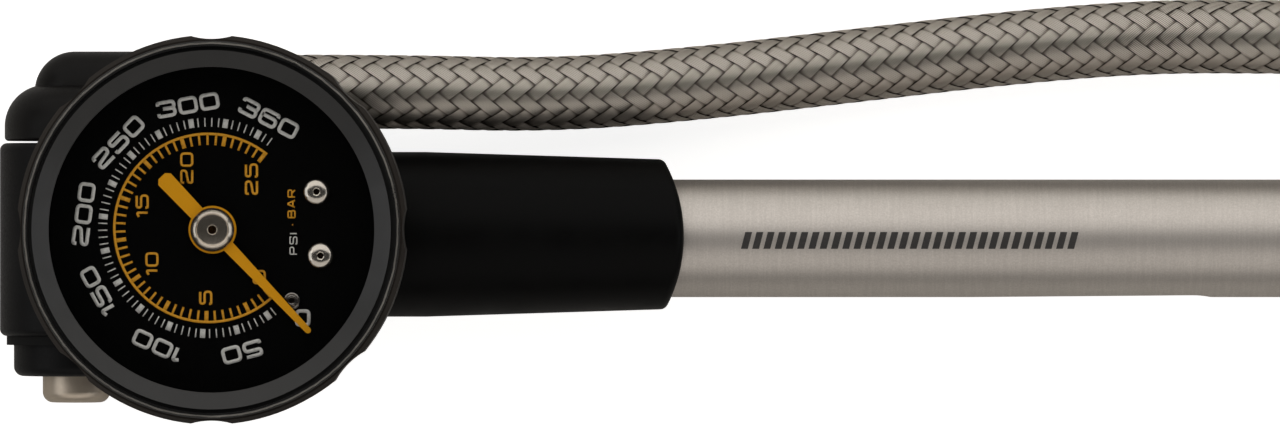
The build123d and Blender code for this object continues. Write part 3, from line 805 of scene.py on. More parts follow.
@dataclass
class Braid:
    """The woven wire over the hose, in flat bands that pass over two and under two."""

    carriers: int = 14
    pitch: float = 37.5 * MM
    radius: float = 4.37 * MM
    rise: float = 0.12 * MM
    half_width: float = 0.765 * MM
    wires: int = 7
    wire_relief: float = 0.075 * MM
    wire_side: float = 0.24
    thickness: float = 0.12 * MM
    over_swing: float = 1.4
    step: float = 0.56 * MM

    def section(self) -> np.ndarray:
        """Works out one band's outline, in which each wire is a flat with two steep sides.

        Returns:
            (across, up) rows, the band's top first and then its underside.
        """
        wire = 2 * self.half_width / self.wires
        starts = -self.half_width + wire * np.arange(self.wires)
        flat = (self.wire_side * wire, (1 - self.wire_side) * wire)
        across = np.concatenate([[x, x + flat[0], x + flat[1]] for x in starts] + [[self.half_width]])
        up = np.concatenate([[0.0, self.wire_relief, self.wire_relief]] * self.wires + [[0.0]])
        top = np.column_stack([across, up + self.thickness / 2])
        under = np.array([[self.half_width, -self.thickness / 2], [-self.half_width, -self.thickness / 2]])
        return np.vstack([top, under])

    def height(self, lay: Lay, carrier: int, along: np.ndarray) -> np.ndarray:
        """Returns how far a band stands above the braid's middle.

        Args:
            lay: The band's turn.
            carrier: The band's number.
            along: Distances along the hose.

        Returns:
            Heights, flat on the floats and steep between them.
        """
        phase = 2 * self.carriers * along / self.pitch
        count = 2 * carrier + lay.value * phase
        swing = lay.value * np.cos(2 * math.pi * (count - 0.5) / 4)
        return self.rise * np.clip(self.over_swing * swing, -1.0, 1.0)

    def build(self, name: str, lay: Lay, line: "Line") -> bpy.types.Object:
        """Makes all the bands of one lay.

        Args:
            name: The piece's name.
            lay: Which way they turn.
            line: The hose's centreline.

        Returns:
            The piece, closed along its bands and at their ends.
        """
        section = self.section()
        ring = len(section)
        count = int(round(line.length / self.step)) + 1
        along = np.linspace(0.0, line.length, count)
        angle = math.atan2(2 * math.pi * self.radius, self.pitch)
        points, faces, maps, lifts = [], [], [], []
        for carrier in range(self.carriers):
            turn = 2 * math.pi * carrier / self.carriers + lay.value * 2 * math.pi * along / self.pitch
            lift = self.height(lay, carrier, along)
            s = along[:, None] - lay.value * section[None, :, 0] * math.sin(angle)
            theta = turn[:, None] + section[None, :, 0] * math.cos(angle) / self.radius
            radius = self.radius + lift[:, None] + section[None, :, 1]
            base = carrier * count * ring
            points.append(line.around(s.ravel(), theta.ravel(), radius.ravel()))
            row = np.arange(count - 1)[:, None] * ring + base
            here = np.arange(ring)[None, :]
            after = (here + 1) % ring
            quads = np.stack([row + here, row + after, row + ring + after, row + ring + here], axis=-1)
            faces.extend(quads.reshape(-1, 4).tolist())
            faces.append(list(range(base, base + ring))[::-1])
            last = base + (count - 1) * ring
            faces.append(list(range(last, last + ring)))
            share = np.clip((section[:, 0] + self.half_width) / (2 * self.half_width), 0, 1)
            maps.append(np.column_stack([np.repeat(along, ring) * 1000, np.tile(share, count)]))
            lifts.append(np.repeat(lift / self.rise, ring))
        piece = mesh_piece(name, np.vstack(points), faces)
        layer = piece.data.uv_layers.new(name="band")
        corner = np.zeros(len(piece.data.loops), dtype=np.int32)
        piece.data.loops.foreach_get("vertex_index", corner)
        layer.data.foreach_set("uv", np.vstack(maps)[corner].astype(np.float32).ravel())
        # The lift attribute drives the braid material's painted shade where a band dips under another.
        rise = piece.data.attributes.new("lift", "FLOAT", "POINT")
        rise.data.foreach_set("value", np.concatenate(lifts).astype(np.float32))
        select_only(piece)
        bpy.ops.object.mode_set(mode="EDIT")
        bpy.ops.mesh.select_all(action="SELECT")
        bpy.ops.mesh.normals_make_consistent(inside=False)
        bpy.ops.object.mode_set(mode="OBJECT")
        smooth(piece, 30.0)
        return piece


class Line:
    """A centreline with a frame that doesn't twist along it."""

    def __init__(self, points: np.ndarray) -> None:
        """Works out distances, directions and side vectors along the points.

        Args:
            points: The centreline's points, one row each.
        """
        self.points = points
        steps = np.diff(points, axis=0)
        spans = np.linalg.norm(steps, axis=1)
        self.at = np.concatenate([[0.0], np.cumsum(spans)])
        self.length = float(self.at[-1])
        directions = steps / spans[:, None]
        tangents = np.vstack([directions[:1], (directions[1:] + directions[:-1]) / 2, directions[-1:]])
        self.tangents = tangents / np.linalg.norm(tangents, axis=1)[:, None]
        side = np.array([0.0, 1.0, 0.0])
        sides = []
        for tangent in self.tangents:
            side = side - tangent * float(side @ tangent)
            side = side / np.linalg.norm(side)
            sides.append(side)
        self.sides = np.array(sides)
        self.ups = np.cross(self.tangents, self.sides)

    def _read(self, table: np.ndarray, s: np.ndarray) -> np.ndarray:
        """Reads a table of rows at distances, straight on past both ends."""
        return np.column_stack([np.interp(s, self.at, table[:, k]) for k in range(3)])

    def around(self, s: np.ndarray, theta: np.ndarray, radius: np.ndarray) -> np.ndarray:
        """Returns points round the line.

        Args:
            s: Distances along it.
            theta: Angles round it.
            radius: Distances from it.

        Returns:
            One row for each point.
        """
        inside = np.clip(s, 0.0, self.length)
        centre = self._read(self.points, inside) + self._read(self.tangents, inside) * (s - inside)[:, None]
        sides, ups = self._read(self.sides, inside), self._read(self.ups, inside)
        return centre + (sides * np.cos(theta)[:, None] + ups * np.sin(theta)[:, None]) * radius[:, None]


@dataclass
class Hose:
    """The high-pressure hose, a rubber tube in a stainless braid, between its two crimped ferrules."""

    exit: Point3 = (0.0093, 0.01725, 0.0103)
    route: tuple[Point3, ...] = (
        (0.0093, 0.01725, 0.0103),
        (0.0230, 0.01725, 0.0103),
        (0.0420, 0.01680, 0.0083),
        (0.0610, 0.01840, 0.0056),
        (0.0800, 0.02060, 0.00465),
        (0.0990, 0.02280, 0.0046),
        (0.1170, 0.02425, 0.0052),
        (0.1340, 0.02410, 0.0075),
        (0.1480, 0.02410, 0.0075),
    )
    length: float = 0.1395
    diameter: float = 0.0092
    inner_radius: float = 0.00408
    into_ferrule: float = 0.0008
    braid: Braid = field(default_factory=Braid)

    def curve(self) -> bpy.types.Object:
        """Makes the hose's core as a smooth curve along its route.

        Returns:
            The curve, still without thickness.
        """
        data = bpy.data.curves.new("hose_core", "CURVE")
        data.dimensions = "3D"
        spline = data.splines.new("NURBS")
        spline.points.add(len(self.route) - 1)
        for point, place in zip(spline.points, self.route):
            point.co = (*place, 1.0)
        spline.order_u = 3
        spline.use_endpoint_u = True
        spline.resolution_u = 16
        core = bpy.data.objects.new("hose_core", data)
        bpy.context.scene.collection.objects.link(core)
        return core

    def centreline(self, core: bpy.types.Object) -> Line:
        """Reads the core's centreline, drawn on a little into both ferrules.

        Args:
            core: The core's curve, without thickness.

        Returns:
            The centreline.
        """
        mesh = bpy.data.meshes.new_from_object(core)
        points = np.array([vertex.co[:] for vertex in mesh.vertices])
        bpy.data.meshes.remove(mesh)
        start, end = points[1] - points[0], points[-1] - points[-2]
        first = points[0] - start / np.linalg.norm(start) * self.into_ferrule
        last = points[-1] + end / np.linalg.norm(end) * self.into_ferrule
        return Line(np.vstack([first, points, last]))

    def build(self, palette: Palette) -> list[bpy.types.Object]:
        """Args:
            palette: The pump's finishes.

        Returns:
            The core and the two lays.
        """
        core = self.curve()
        line = self.centreline(core)
        core.data.bevel_depth = self.inner_radius
        core.data.bevel_resolution = 6
        core.data.use_fill_caps = True
        lays = [
            self.braid.build("braid_right_lay", Lay.RIGHT, line),
            self.braid.build("braid_left_lay", Lay.LEFT, line),
        ]
        palette.dress(core, "inner_hose")
        for lay in lays:
            palette.dress(lay, "steel_braid")
        for piece in (core, *lays):
            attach(piece, "hose_line")
        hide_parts("hose")
        LOG.info("hose: %.1f mm of centreline, %d bands each way", line.length * 1000, self.braid.carriers)
        return [core, *lays]


@dataclass
class CrimpedFerrule:
    """A steel ferrule, pressed onto the hose in ring crimps and drawn in at the end that the hose leaves."""

    name: str
    node: str
    axis_y: float
    axis_z: float
    back: float
    front: float
    radius: float
    mouth: float
    crimps: tuple[float, ...]
    crimp_width: float = 1.5 * MM
    crimp_depth: float = 0.35 * MM
    lip: float = 0.35 * MM
    taper_length: float = 3.4 * MM
    nose_length: float = 1.2 * MM
    nose_step: float = 0.12 * MM
    mouth_length: float = 0.25 * MM
    mouth_round: float = 0.2 * MM
    wall_in: float = 4.2 * MM
    steps: int = 72

    def outline(self) -> list[Point]:
        """Works out the ferrule's outline.

        Returns:
            (along, radius) points, down the outside first and then back through the bore.
        """
        toward = 1.0 if self.front > self.back else -1.0
        points = [(self.back, self.radius - self.lip), (self.back + toward * self.lip, self.radius)]
        for middle in self.crimps:
            for k in range(-4, 5):
                dip = self.crimp_depth * math.cos(math.pi * k / 8) ** 2
                points.append((middle + toward * k / 4 * self.crimp_width / 2, self.radius - dip))
        points += [
            (self.front - toward * self.taper_length, self.radius),
            (self.front - toward * self.nose_length, self.mouth + self.nose_step),
            (self.front - toward * self.mouth_length, self.mouth),
            (self.front, self.mouth - self.mouth_round),
            (self.front, self.wall_in),
            (self.back, self.wall_in),
        ]
        return points

    def build(self, palette: Palette, body: str, slot: str) -> bpy.types.Object:
        """Turns the outline round the hose's axis, in place of the CAD ferrule.

        Args:
            palette: The pump's finishes.
            body: The CAD body that it rides on.
            slot: The record's slot of its finish.

        Returns:
            The ferrule.
        """
        centre = (0.0, self.axis_y, self.axis_z)
        ferrule = spun(self.name, self.outline(), centre, (1.0, 0.0, 0.0), self.steps)
        smooth(ferrule, 40.0)
        palette.dress(ferrule, slot)
        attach(ferrule, body)
        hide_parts(self.node)
        LOG.info("%s: %d crimps", self.name, len(self.crimps))
        return ferrule


# --------------------------------------------------------------------------------------------------
# Prints
# --------------------------------------------------------------------------------------------------

# The scale's characters, as pen strokes in a box one wide and one high. A stroke is closed if it ends
# where it starts.
GLYPHS: dict[str, tuple[tuple[Point, ...], ...]] = {
    "0": (((0, 0), (1, 0), (1, 1), (0, 1), (0, 0)),),
    "1": (((0.0, 0.8), (0.35, 1), (0.35, 0)),),
    "2": (((0, 0.74), (0, 1), (1, 1), (1, 0.56), (0, 0.36), (0, 0), (1.04, 0)),),
    "3": (
        ((0, 0.78), (0, 1), (1, 1), (1, 0.53), (0.3, 0.53)),
        ((0.5, 0.51), (1, 0.51), (1, 0), (0, 0), (0, 0.22)),
    ),
    "5": (((0.98, 1), (0.02, 1), (0.02, 0.6), (1, 0.6), (1, 0), (0, 0), (0, 0.2)),),
    "6": (((1, 0.8), (1, 1), (0, 1), (0, 0), (1, 0), (1, 0.58), (0, 0.58)),),
    "P": (((0, 0), (0, 1)), ((0.01, 1), (1, 1), (1, 0.45), (0.01, 0.45))),
    "S": (((1, 0.8), (1, 1), (0, 1), (0, 0.54), (1, 0.48), (1, 0), (0, 0), (0, 0.2)),),
    "I": (((0, 0), (0, 1)),),
    "B": (
        ((0, 0), (0, 1)),
        ((0.01, 1), (0.94, 1), (0.94, 0.54), (0.01, 0.54)),
        ((0.03, 0.52), (1, 0.52), (1, 0), (0.02, 0)),
    ),
    "A": (((0, 0), (0.42, 1), (0.58, 1), (1, 0)), ((0.17, 0.3), (0.83, 0.3))),
    "R": (((0, 0), (0, 1)), ((0.01, 1), (1, 1), (1, 0.46), (0.01, 0.46)), ((0.55, 0.45), (1, 0))),
    ".": (((0, 0.42), (0, 0.58)),),
}
WIDTHS: dict[str, float] = {"1": 0.35, "I": 0.0, ".": 0.0}


def softened(points: list[Point], radius: float, steps: int = 5) -> list[Point]:
    """Rounds the corners of a stroke.

    Args:
        points: The stroke's corners.
        radius: How far from a corner its arc starts.
        steps: Points on each arc.

    Returns:
        The stroke with a short curve at each inner corner, and at its join if it is closed.
    """
    closed = points[0] == points[-1]
    ring = points[:-1] if closed else points
    count = len(ring)
    rounded: list[Point] = []
    for i, corner in enumerate(ring):
        if not closed and i in (0, count - 1):
            rounded.append(corner)
            continue
        here = Vector(corner)
        before, after = Vector(ring[i - 1]), Vector(ring[(i + 1) % count])
        reach = min(radius, 0.48 * (before - here).length, 0.48 * (after - here).length)
        start = here + (before - here).normalized() * reach
        end = here + (after - here).normalized() * reach
        for k in range(steps + 1):
            t = k / steps
            spot = start * (1 - t) ** 2 + here * 2 * t * (1 - t) + end * t**2
            rounded.append((spot.x, spot.y))
    return rounded + [rounded[0]] if closed else rounded


@dataclass
class Pen:
    """Draws flat strokes of ink, as a 2-D curve with a flat nib that is then made a mesh."""

    width: float
    film: float = 0.02 * MM
    layer_rise: float = 0.004 * MM

    def write(self, name: str, strokes: list[tuple[int, list[Point]]], height: float) -> bpy.types.Object:
        """Draws strokes that come with their layers, each layer a hair above the one before.

        Args:
            name: The object's name.
            strokes: Each stroke's layer and points.
            height: The Z of the surface that carries the ink.

        Returns:
            The strokes as one mesh.
        """
        drawn = []
        for layer in sorted({layer for layer, _ in strokes}):
            own = [stroke for number, stroke in strokes if number == layer]
            drawn.append(self.draw(f"{name}_{layer}", own, height + layer * self.layer_rise))
        return join(name, drawn)

    def draw(self, name: str, strokes: list[list[Point]], height: float) -> bpy.types.Object:
        """Draws strokes at a height.

        Args:
            name: The object's name.
            strokes: Points of each stroke. A stroke that ends where it starts is a closed loop.
            height: The Z of the surface that carries the ink.

        Returns:
            The strokes as one mesh.
        """
        nib = bpy.data.curves.new(name + "_nib", "CURVE")
        nib.dimensions = "2D"
        edge = nib.splines.new("POLY")
        edge.points.add(3)
        w, h = self.width / 2, self.film / 2
        for point, place in zip(edge.points, ((-w, -h), (w, -h), (w, h), (-w, h))):
            point.co = (*place, 0.0, 1.0)
        edge.use_cyclic_u = True
        nib_object = bpy.data.objects.new(name + "_nib", nib)
        bpy.context.scene.collection.objects.link(nib_object)
        data = bpy.data.curves.new(name, "CURVE")
        data.dimensions = "2D"
        data.bevel_mode = "OBJECT"
        data.bevel_object = nib_object
        data.use_fill_caps = True
        for stroke in strokes:
            closed = stroke[0] == stroke[-1]
            corners = stroke[:-1] if closed else stroke
            spline = data.splines.new("POLY")
            spline.points.add(len(corners) - 1)
            for point, place in zip(spline.points, corners):
                point.co = (*place, 0.0, 1.0)
            spline.use_cyclic_u = closed
        drawn = bpy.data.objects.new(name, data)
        bpy.context.scene.collection.objects.link(drawn)
        select_only(drawn)
        bpy.ops.object.convert(target="MESH")
        drawn = bpy.context.view_layer.objects.active
        bpy.data.objects.remove(nib_object)
        drawn.location.z = height + h
        bake_place(drawn)
        bpy.ops.object.mode_set(mode="EDIT")
        bpy.ops.mesh.select_all(action="SELECT")
        bpy.ops.mesh.remove_doubles(threshold=1e-7)
        bpy.ops.mesh.normals_make_consistent(inside=False)
        bpy.ops.object.mode_set(mode="OBJECT")
        return drawn


@dataclass
class Label:
    """One word or number of the dial's print."""

    text: str
    centre: Point
    turn: float
    glyph_width: float
    glyph_height: float
    gap: float
    rounding: float = 0.28

    def strokes(self) -> list[tuple[int, list[Point]]]:
        """Puts the label's strokes in place. Strokes that cross lie one on the other.

        Returns:
            Each stroke's layer and points.
        """
        widths = [WIDTHS.get(c, 1.0) * self.glyph_width for c in self.text]
        left = -(sum(widths) + self.gap * (len(self.text) - 1)) / 2
        cos, sin = math.cos(self.turn), math.sin(self.turn)
        placed = []
        for character, width in zip(self.text, widths):
            for layer, glyph in enumerate(GLYPHS[character]):
                sized = [(left + x * self.glyph_width, (y - 0.5) * self.glyph_height) for x, y in glyph]
                soft = sized if character == "A" else softened(sized, self.rounding * self.glyph_height)
                turned = [(x * cos - y * sin, x * sin + y * cos) for x, y in soft]
                placed.append((layer, [(self.centre[0] + x, self.centre[1] + y) for x, y in turned]))
            left += width + self.gap
        return placed


@dataclass
class DialPrint:
    """The two scales and their numbers, printed on the dial: grey for psi and yellow for bar."""

    face: float = 28.4 * MM
    centre: Point = (-0.55 * MM, 0.22 * MM)
    label_shift: Point = (-0.38 * MM, -0.15 * MM)
    zero_angle: float = 322.75
    degrees_per_psi: float = 0.7447
    degrees_per_bar: float = 10.8
    tick_inner: float = 12.5 * MM
    tick_outer: float = 13.6 * MM
    arc_outer: float = 11.78 * MM
    arc_width: float = 0.32 * MM
    bar_tick_inner: float = 10.25 * MM

    def at(self, degrees: float, radius: float) -> Point:
        """Returns the point at an angle and radius about the print's centre."""
        angle = math.radians(degrees)
        return (self.centre[0] + radius * math.cos(angle), self.centre[1] + radius * math.sin(angle))

    def psi_ticks(self) -> tuple[list[list[Point]], list[list[Point]]]:
        """Works out the psi scale's ticks.

        Returns:
            The thin ticks of each 5 psi and the wide ones of each 25 psi.
        """
        thin, wide = [], []
        for psi in range(20, 361, 5):
            degrees = self.zero_angle - psi * self.degrees_per_psi
            stroke = [self.at(degrees, self.tick_inner), self.at(degrees, self.tick_outer)]
            (wide if psi % 25 == 0 else thin).append(stroke)
        return thin, wide

    def bar_ticks(self) -> tuple[list[list[Point]], list[list[Point]]]:
        """Works out the bar scale's ticks.

        Returns:
            The thin ticks of each half bar and the wider ones of each 2.5 bar.
        """
        thin, wide = [], []
        middle_of_arc = self.arc_outer - self.arc_width / 2
        for half in range(2, 51):
            degrees = self.zero_angle - half / 2 * self.degrees_per_bar
            stroke = [self.at(degrees, self.bar_tick_inner), self.at(degrees, middle_of_arc)]
            (wide if half % 5 == 0 else thin).append(stroke)
        return thin, wide

    def bar_arc(self) -> list[Point]:
        """Works out the arc that the bar scale's ticks hang from.

        Returns:
            The arc's points, from below 1 bar to just past 25 bar.
        """
        start = self.zero_angle - 0.95 * self.degrees_per_bar
        end = self.zero_angle - 25.12 * self.degrees_per_bar
        middle = self.arc_outer - self.arc_width / 2
        return [self.at(start + (end - start) * k / 160, middle) for k in range(161)]

    def psi_numbers(self) -> list[tuple[int, list[Point]]]:
        """Places the psi scale's numbers, whose tops point outwards.

        Returns:
            Each stroke's layer and points.
        """
        rows = (
            ("50", -75.0, 15.47),
            ("100", -114.3, 15.60),
            ("150", -151.4, 15.66),
            ("200", 172.4, 15.72),
            ("250", 135.8, 15.72),
            ("300", 99.9, 15.76),
            ("360", 62.3, 15.72),
        )
        strokes: list[tuple[int, list[Point]]] = []
        for text, degrees, radius in rows:
            angle = math.radians(degrees)
            centre = (
                radius * MM * math.cos(angle) + self.label_shift[0],
                radius * MM * math.sin(angle) + self.label_shift[1],
            )
            strokes += Label(text, centre, angle - math.pi / 2, 2.0 * MM, 1.68 * MM, 0.7 * MM).strokes()
        zero = (11.1 * MM, -10.9 * MM)
        strokes += Label("0", zero, math.radians(-90.0), 1.7 * MM, 1.5 * MM, 0.0).strokes()
        return strokes

    def bar_numbers(self) -> list[tuple[int, list[Point]]]:
        """Places the bar scale's numbers, which all read upwards.

        Returns:
            Each stroke's layer and points.
        """
        rows = (
            ("0", 6.1, -5.7),
            ("5", -0.5, -8.25),
            ("10", -7.15, -4.1),
            ("15", -8.35, 3.05),
            ("20", -2.85, 7.75),
            ("25", 5.15, 6.4),
        )
        strokes: list[tuple[int, list[Point]]] = []
        for text, x, y in rows:
            centre = (x * MM + self.label_shift[0], y * MM + self.label_shift[1])
            strokes += Label(text, centre, math.pi / 2, 1.5 * MM, 1.36 * MM, 0.62 * MM).strokes()
        return strokes

    def build(self, palette: Palette) -> None:
        """Draws the whole print and lets it ride with the gauge.

        Args:
            palette: The pump's finishes.
        """
        thin_psi, wide_psi = self.psi_ticks()
        thin_bar, wide_bar = self.bar_ticks()
        upright = math.pi / 2
        psi_word = Label("PSI", (9.95 * MM, -1.75 * MM), upright, 0.85 * MM, 0.84 * MM, 0.42 * MM)
        dot = Label(".", (9.85 * MM, 0.6 * MM), upright, 1.0 * MM, 0.84 * MM, 0.0)
        bar_word = Label("BAR", (9.72 * MM, 3.2 * MM), upright, 0.85 * MM, 0.84 * MM, 0.42 * MM)
        grey = [
            Pen(0.15 * MM).draw("psi_thin_ticks", thin_psi, self.face),
            Pen(0.66 * MM).draw("psi_wide_ticks", wide_psi, self.face),
            Pen(0.44 * MM).write("psi_numbers", self.psi_numbers(), self.face),
            Pen(0.15 * MM).write("psi_word", psi_word.strokes(), self.face),
        ]
        yellow = [
            Pen(0.28 * MM).draw("bar_thin_ticks", thin_bar, self.face),
            Pen(0.5 * MM).draw("bar_wide_ticks", wide_bar, self.face),
            Pen(self.arc_width).draw("bar_arc", [self.bar_arc()], self.face + Pen.layer_rise),
            Pen(0.29 * MM).write("bar_numbers", self.bar_numbers(), self.face),
            Pen(0.19 * MM).write("bar_word", bar_word.strokes() + dot.strokes(), self.face),
        ]
        psi_print = join("dial_psi_print", grey)
        bar_print = join("dial_bar_print", yellow)
        palette.dress(psi_print, "scale_ink")
        palette.dress(bar_print, "bar_ink")
        for piece in (psi_print, bar_print):
            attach(piece, "head")
            LOG.info("%s: %d faces", piece.name, len(piece.data.polygons))


@dataclass
class GaugeFittings:
    """The small metal pieces that show on the dial: the pointer's cap, two screws and the zero rivet."""

    face: float = 28.4 * MM
    cap_radius: float = 2.7 * MM
    cap_bottom: float = 29.8 * MM
    cap_top: float = 30.9 * MM
    screw_radius: float = 1.66 * MM
    screw_top: float = 29.15 * MM
    socket_radius: float = 0.42 * MM
    screws: tuple[Point, ...] = DIAL_SCREWS
    rivet: Point = ZERO_RIVET
    rivet_radius: float = 1.1 * MM

    def pointer_cap(self) -> bpy.types.Object:
        """Turns the pointer's cap: a broad bright chamfer round a sunk flat, with the arbor's end in it.

        Returns:
            The cap.
        """
        top, r = self.cap_top, self.cap_radius
        outline = [
            (self.cap_bottom, 0.0),
            (self.cap_bottom, r - 0.1 * MM),
            (self.cap_bottom + 0.1 * MM, r),
            (top - 0.46 * MM, r),
            (top - 0.40 * MM, r - 0.03 * MM),
            (top - 0.06 * MM, r - 0.52 * MM),
            (top, r - 0.62 * MM),
            (top - 0.03 * MM, r - 0.72 * MM),
            (top - 0.24 * MM, r - 0.80 * MM),
            (top - 0.26 * MM, r - 0.90 * MM),
            (top - 0.26 * MM, 0.62 * MM),
            (top - 0.30 * MM, 0.56 * MM),
            (top - 0.52 * MM, 0.48 * MM),
            (top - 0.52 * MM, 0.26 * MM),
            (top - 0.40 * MM, 0.20 * MM),
            (top - 0.38 * MM, 0.0),
        ]
        return spun("pointer_cap", outline, (0.0, 0.0, 0.0), (0.0, 0.0, 1.0), 96)

    def screw(self, number: int, place: Point) -> bpy.types.Object:
        """Turns one domed screw head and squeezes its socket to a hexagon.

        Args:
            number: The screw's number, for its name.
            place: Its centre on the dial.

        Returns:
            The screw's head.
        """
        rise, inner = self.screw_top - self.face - 0.08 * MM, self.socket_radius + 0.08 * MM
        outline = [(self.face - 0.2 * MM, 0.0), (self.face - 0.2 * MM, self.screw_radius - 0.1 * MM)]
        outline += [(self.face, self.screw_radius - 0.02 * MM)]
        for k in range(13):
            t = math.pi / 2 * k / 12
            radius = inner + (self.screw_radius - inner) * math.cos(t)
            outline.append((self.face + 0.08 * MM + rise * math.sin(t), radius))
        outline += [
            (self.screw_top - 0.05 * MM, self.socket_radius),
            (self.face + 0.25 * MM, self.socket_radius - 0.04 * MM),
            (self.face + 0.12 * MM, 0.30 * MM),
            (self.face + 0.10 * MM, 0.0),
        ]
        head = spun(f"screw_head_{number}", outline, (*place, 0.0), (0.0, 0.0, 1.0), 48)
        for vertex in head.data.vertices:
            x, y = vertex.co.x - place[0], vertex.co.y - place[1]
            radius = math.hypot(x, y)
            if 0.2 * MM < radius < self.socket_radius + 0.01 * MM and vertex.co.z > self.face:
                turn = (math.atan2(y, x) + 0.3) % (math.pi / 3) - math.pi / 6
                flat = math.cos(math.pi / 6) / math.cos(turn)
                vertex.co.x, vertex.co.y = place[0] + x * flat, place[1] + y * flat
        return head

    def zero_rivet(self) -> bpy.types.Object:
        """Turns the hollow rivet that the pointer rests beside.

        Returns:
            The rivet.
        """
        z, r = self.face, self.rivet_radius
        outline = [
            (z - 0.2 * MM, 0.0),
            (z - 0.2 * MM, r - 0.1 * MM),
            (z + 0.28 * MM, r),
            (z + 0.46 * MM, r - 0.12 * MM),
            (z + 0.50 * MM, r - 0.26 * MM),
            (z + 0.40 * MM, r - 0.38 * MM),
            (z + 0.28 * MM, r - 0.44 * MM),
            (z + 0.30 * MM, r - 0.54 * MM),
            (z + 0.46 * MM, r - 0.62 * MM),
            (z + 0.44 * MM, r - 0.74 * MM),
            (z + 0.15 * MM, r - 0.80 * MM),
            (z + 0.12 * MM, 0.0),
        ]
        return spun("zero_rivet", outline, (*self.rivet, 0.0), (0.0, 0.0, 1.0), 48)

    def build(self, palette: Palette) -> None:
        """Makes the pieces in place of their CAD nodes.

        Args:
            palette: The pump's finishes.
        """
        cap = self.pointer_cap()
        heads = join("dial_screw_heads", [self.screw(k + 1, place) for k, place in enumerate(self.screws)])
        rivet = self.zero_rivet()
        for piece, node, key, body in (
            (cap, "pointer_hub", "cap_steel", "needle"),
            (heads, "dial_screws", "screw_steel", "head"),
            (rivet, "zero_pin", "rivet_steel", "head"),
        ):
            smooth(piece, 30.0)
            palette.dress(piece, key)
            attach(piece, body)
            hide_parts(node)
            LOG.info("%s: %d faces", piece.name, len(piece.data.polygons))


@dataclass
class TubePrint:
    """A plain row of slanted dashes round the handle tube, where a maker would print a name."""

    start: float = 65.3 * MM
    end: float = 107.4 * MM
    axis_y: float = -1.1 * MM
    axis_z: float = 10.3 * MM
    tube_radius: float = 7.35 * MM
    middle: float = -0.25 * MM
    height: float = 2.1 * MM
    dash: float = 0.85 * MM
    spacing: float = 1.4 * MM
    slant: float = 0.55 * MM
    film: float = 0.015 * MM

    def build(self, palette: Palette) -> None:
        """Makes the dashes on the tube's surface and lets them ride with the handle.

        Args:
            palette: The pump's finishes.
        """
        count = int((self.end - self.start) / self.spacing)
        dashes = []
        for k in range(count):
            x = self.start + (k + 0.5) * self.spacing
            bpy.ops.object.select_all(action="DESELECT")
            bpy.ops.mesh.primitive_grid_add(x_subdivisions=1, y_subdivisions=8, size=1.0, location=(0, 0, 0))
            dash = bpy.context.view_layer.objects.active
            for vertex in dash.data.vertices:
                u, v = vertex.co.x, vertex.co.y
                bend = (self.middle + v * self.height) / self.tube_radius
                reach = self.tube_radius + self.film / 2
                vertex.co = (
                    x + u * self.dash + v * self.slant,
                    self.axis_y + reach * math.sin(bend),
                    self.axis_z + reach * math.cos(bend),
                )
            dashes.append(dash)
        row = join("tube_dash_print", dashes)
        film = row.modifiers.new("film", "SOLIDIFY")
        film.thickness = self.film
        film.offset = 0.0
        select_only(row)
        bpy.ops.object.modifier_apply(modifier="film")
        palette.dress(row, "tube_ink")
        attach(row, "handle")
        LOG.info("%s: %d dashes", row.name, count)


# --------------------------------------------------------------------------------------------------
# Camera, table and lights
# --------------------------------------------------------------------------------------------------


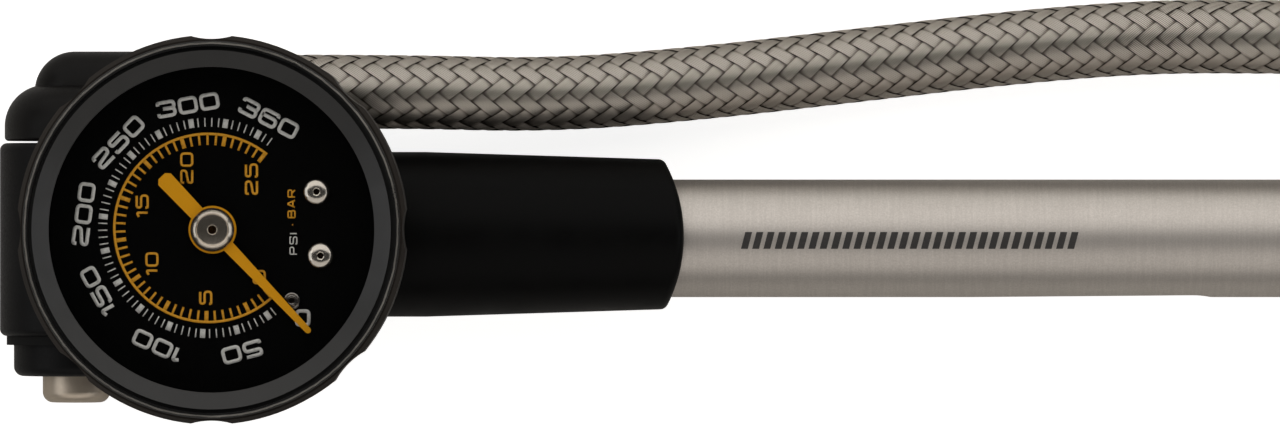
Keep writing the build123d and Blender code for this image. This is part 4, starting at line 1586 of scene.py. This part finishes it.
@dataclass
class Studio:
    """The plain table, the soft lights and the camera that looks straight down on the pump."""

    eye: Point3 = (0.05275, 0.00194, 1.5103)
    lens: float = 337.5
    table_size: float = 12.0
    table_colour: str = "#ffffff"
    bounce_colour: str = "#d2d0cc"
    glow: float = 0.84

    def camera(self) -> None:
        """Makes the camera."""
        data = bpy.data.cameras.new("camera")
        data.lens = self.lens
        data.sensor_width = 36.0
        data.clip_start = 0.05
        data.clip_end = 50.0
        eye = bpy.data.objects.new("camera", data)
        eye.location = self.eye
        bpy.context.scene.collection.objects.link(eye)
        bpy.context.scene.camera = eye

    def table(self) -> None:
        """Makes the table top of matt paper, near white to look at, which throws little light back."""
        bpy.ops.object.select_all(action="DESELECT")
        bpy.ops.mesh.primitive_plane_add(size=self.table_size, location=(0.05, 0.0, 0.0))
        top = bpy.context.view_layer.objects.active
        top.name = "table"
        bake_place(top)
        graph = Graph("matt_white_paper")
        fibre = graph.grain(1.2 * MM, 3.0)
        paper = graph.add(
            "ShaderNodeBsdfPrincipled",
            None,
            Base_Color=linear(self.bounce_colour),
            Roughness=0.9,
            Normal=graph.bump(fibre, 0.1, 0.02 * MM),
        )
        glow = graph.add("ShaderNodeEmission", None, Color=linear(self.table_colour), Strength=self.glow)
        both = graph.add("ShaderNodeAddShader", None, in0=paper.outputs[0], in1=glow.outputs[0])
        seen = graph.add("ShaderNodeLightPath").outputs["Is Camera Ray"]
        mixed = graph.add("ShaderNodeMixShader", None, Fac=seen, in1=paper.outputs[0], in2=both.outputs[0])
        graph.links.new(mixed.outputs[0], graph.output.inputs[0])
        top.data.materials.append(graph.material)

    def lamp(self, name: str, place: Point3, aim: Point3, size: Point, power: float, colour: str) -> None:
        """Adds a softbox.

        Args:
            name: The light's name.
            place: Where it stands.
            aim: The point that it faces.
            size: Its width and height.
            power: Its power in watts.
            colour: Its hex colour.
        """
        data = bpy.data.lights.new(name, "AREA")
        data.shape = "RECTANGLE"
        data.size, data.size_y = size
        data.energy = power
        data.color = linear(colour)[:3]
        lamp = bpy.data.objects.new(name, data)
        lamp.location = place
        lamp.rotation_euler = (Vector(aim) - Vector(place)).to_track_quat("-Z", "Y").to_euler()
        bpy.context.scene.collection.objects.link(lamp)

    def lights(self) -> None:
        """Adds the softboxes and the room's even light."""
        middle = (0.05, 0.0, 0.0)
        self.lamp("back_softbox", (0.05, 0.68, 0.76), middle, (2.4, 1.05), 8.2, "#fffcf8")
        self.lamp("low_strip", (0.05, 1.0, 0.16), middle, (2.4, 0.2), 2.4, "#fffdf8")
        self.lamp("front_softbox", (0.05, -0.70, 0.72), middle, (2.4, 0.95), 5.0, "#fffaf4")
        self.lamp("left_softbox", (-0.95, 0.0, 0.60), middle, (0.9, 0.7), 2.0, "#ffffff")
        self.lamp("right_softbox", (1.05, 0.0, 0.60), middle, (0.9, 0.7), 2.0, "#ffffff")
        world = bpy.data.worlds.new("room")
        world.use_nodes = True
        back = world.node_tree.nodes["Background"]
        back.inputs["Color"].default_value = linear("#ffffff")
        back.inputs["Strength"].default_value = 0.04
        bpy.context.scene.world = world
        bpy.context.scene.view_settings.view_transform = "Standard"
        bpy.context.scene.view_settings.look = "None"

    def build(self) -> None:
        """Makes the camera, the table and the lights."""
        self.camera()
        self.table()
        self.lights()


def elbow_ferrule() -> CrimpedFerrule:
    """Sizes the ferrule between the swivel elbow and the hose.

    Returns:
        The ferrule, not yet built.
    """
    return CrimpedFerrule(
        name="crimped_elbow_ferrule",
        node="hose_ferrule",
        axis_y=17.25 * MM,
        axis_z=10.3 * MM,
        back=-5.0 * MM,
        front=9.3 * MM,
        radius=5.6 * MM,
        mouth=4.98 * MM,
        crimps=(-1.6 * MM, 1.2 * MM, 4.0 * MM),
    )


def main() -> None:
    """Loads the frame, dresses it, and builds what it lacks."""
    logging.basicConfig(level=logging.INFO, format="%(message)s")
    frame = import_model()
    Studio().build()
    palette = Palette()
    Hose().build(palette)
    palette.dress_nodes(frame)
    elbow_ferrule().build(palette, "hose_line", "crimp_steel")
    DialPrint().build(palette)
    GaugeFittings().build(palette)
    TubePrint().build(palette)


if __name__ == "__main__":
    main()
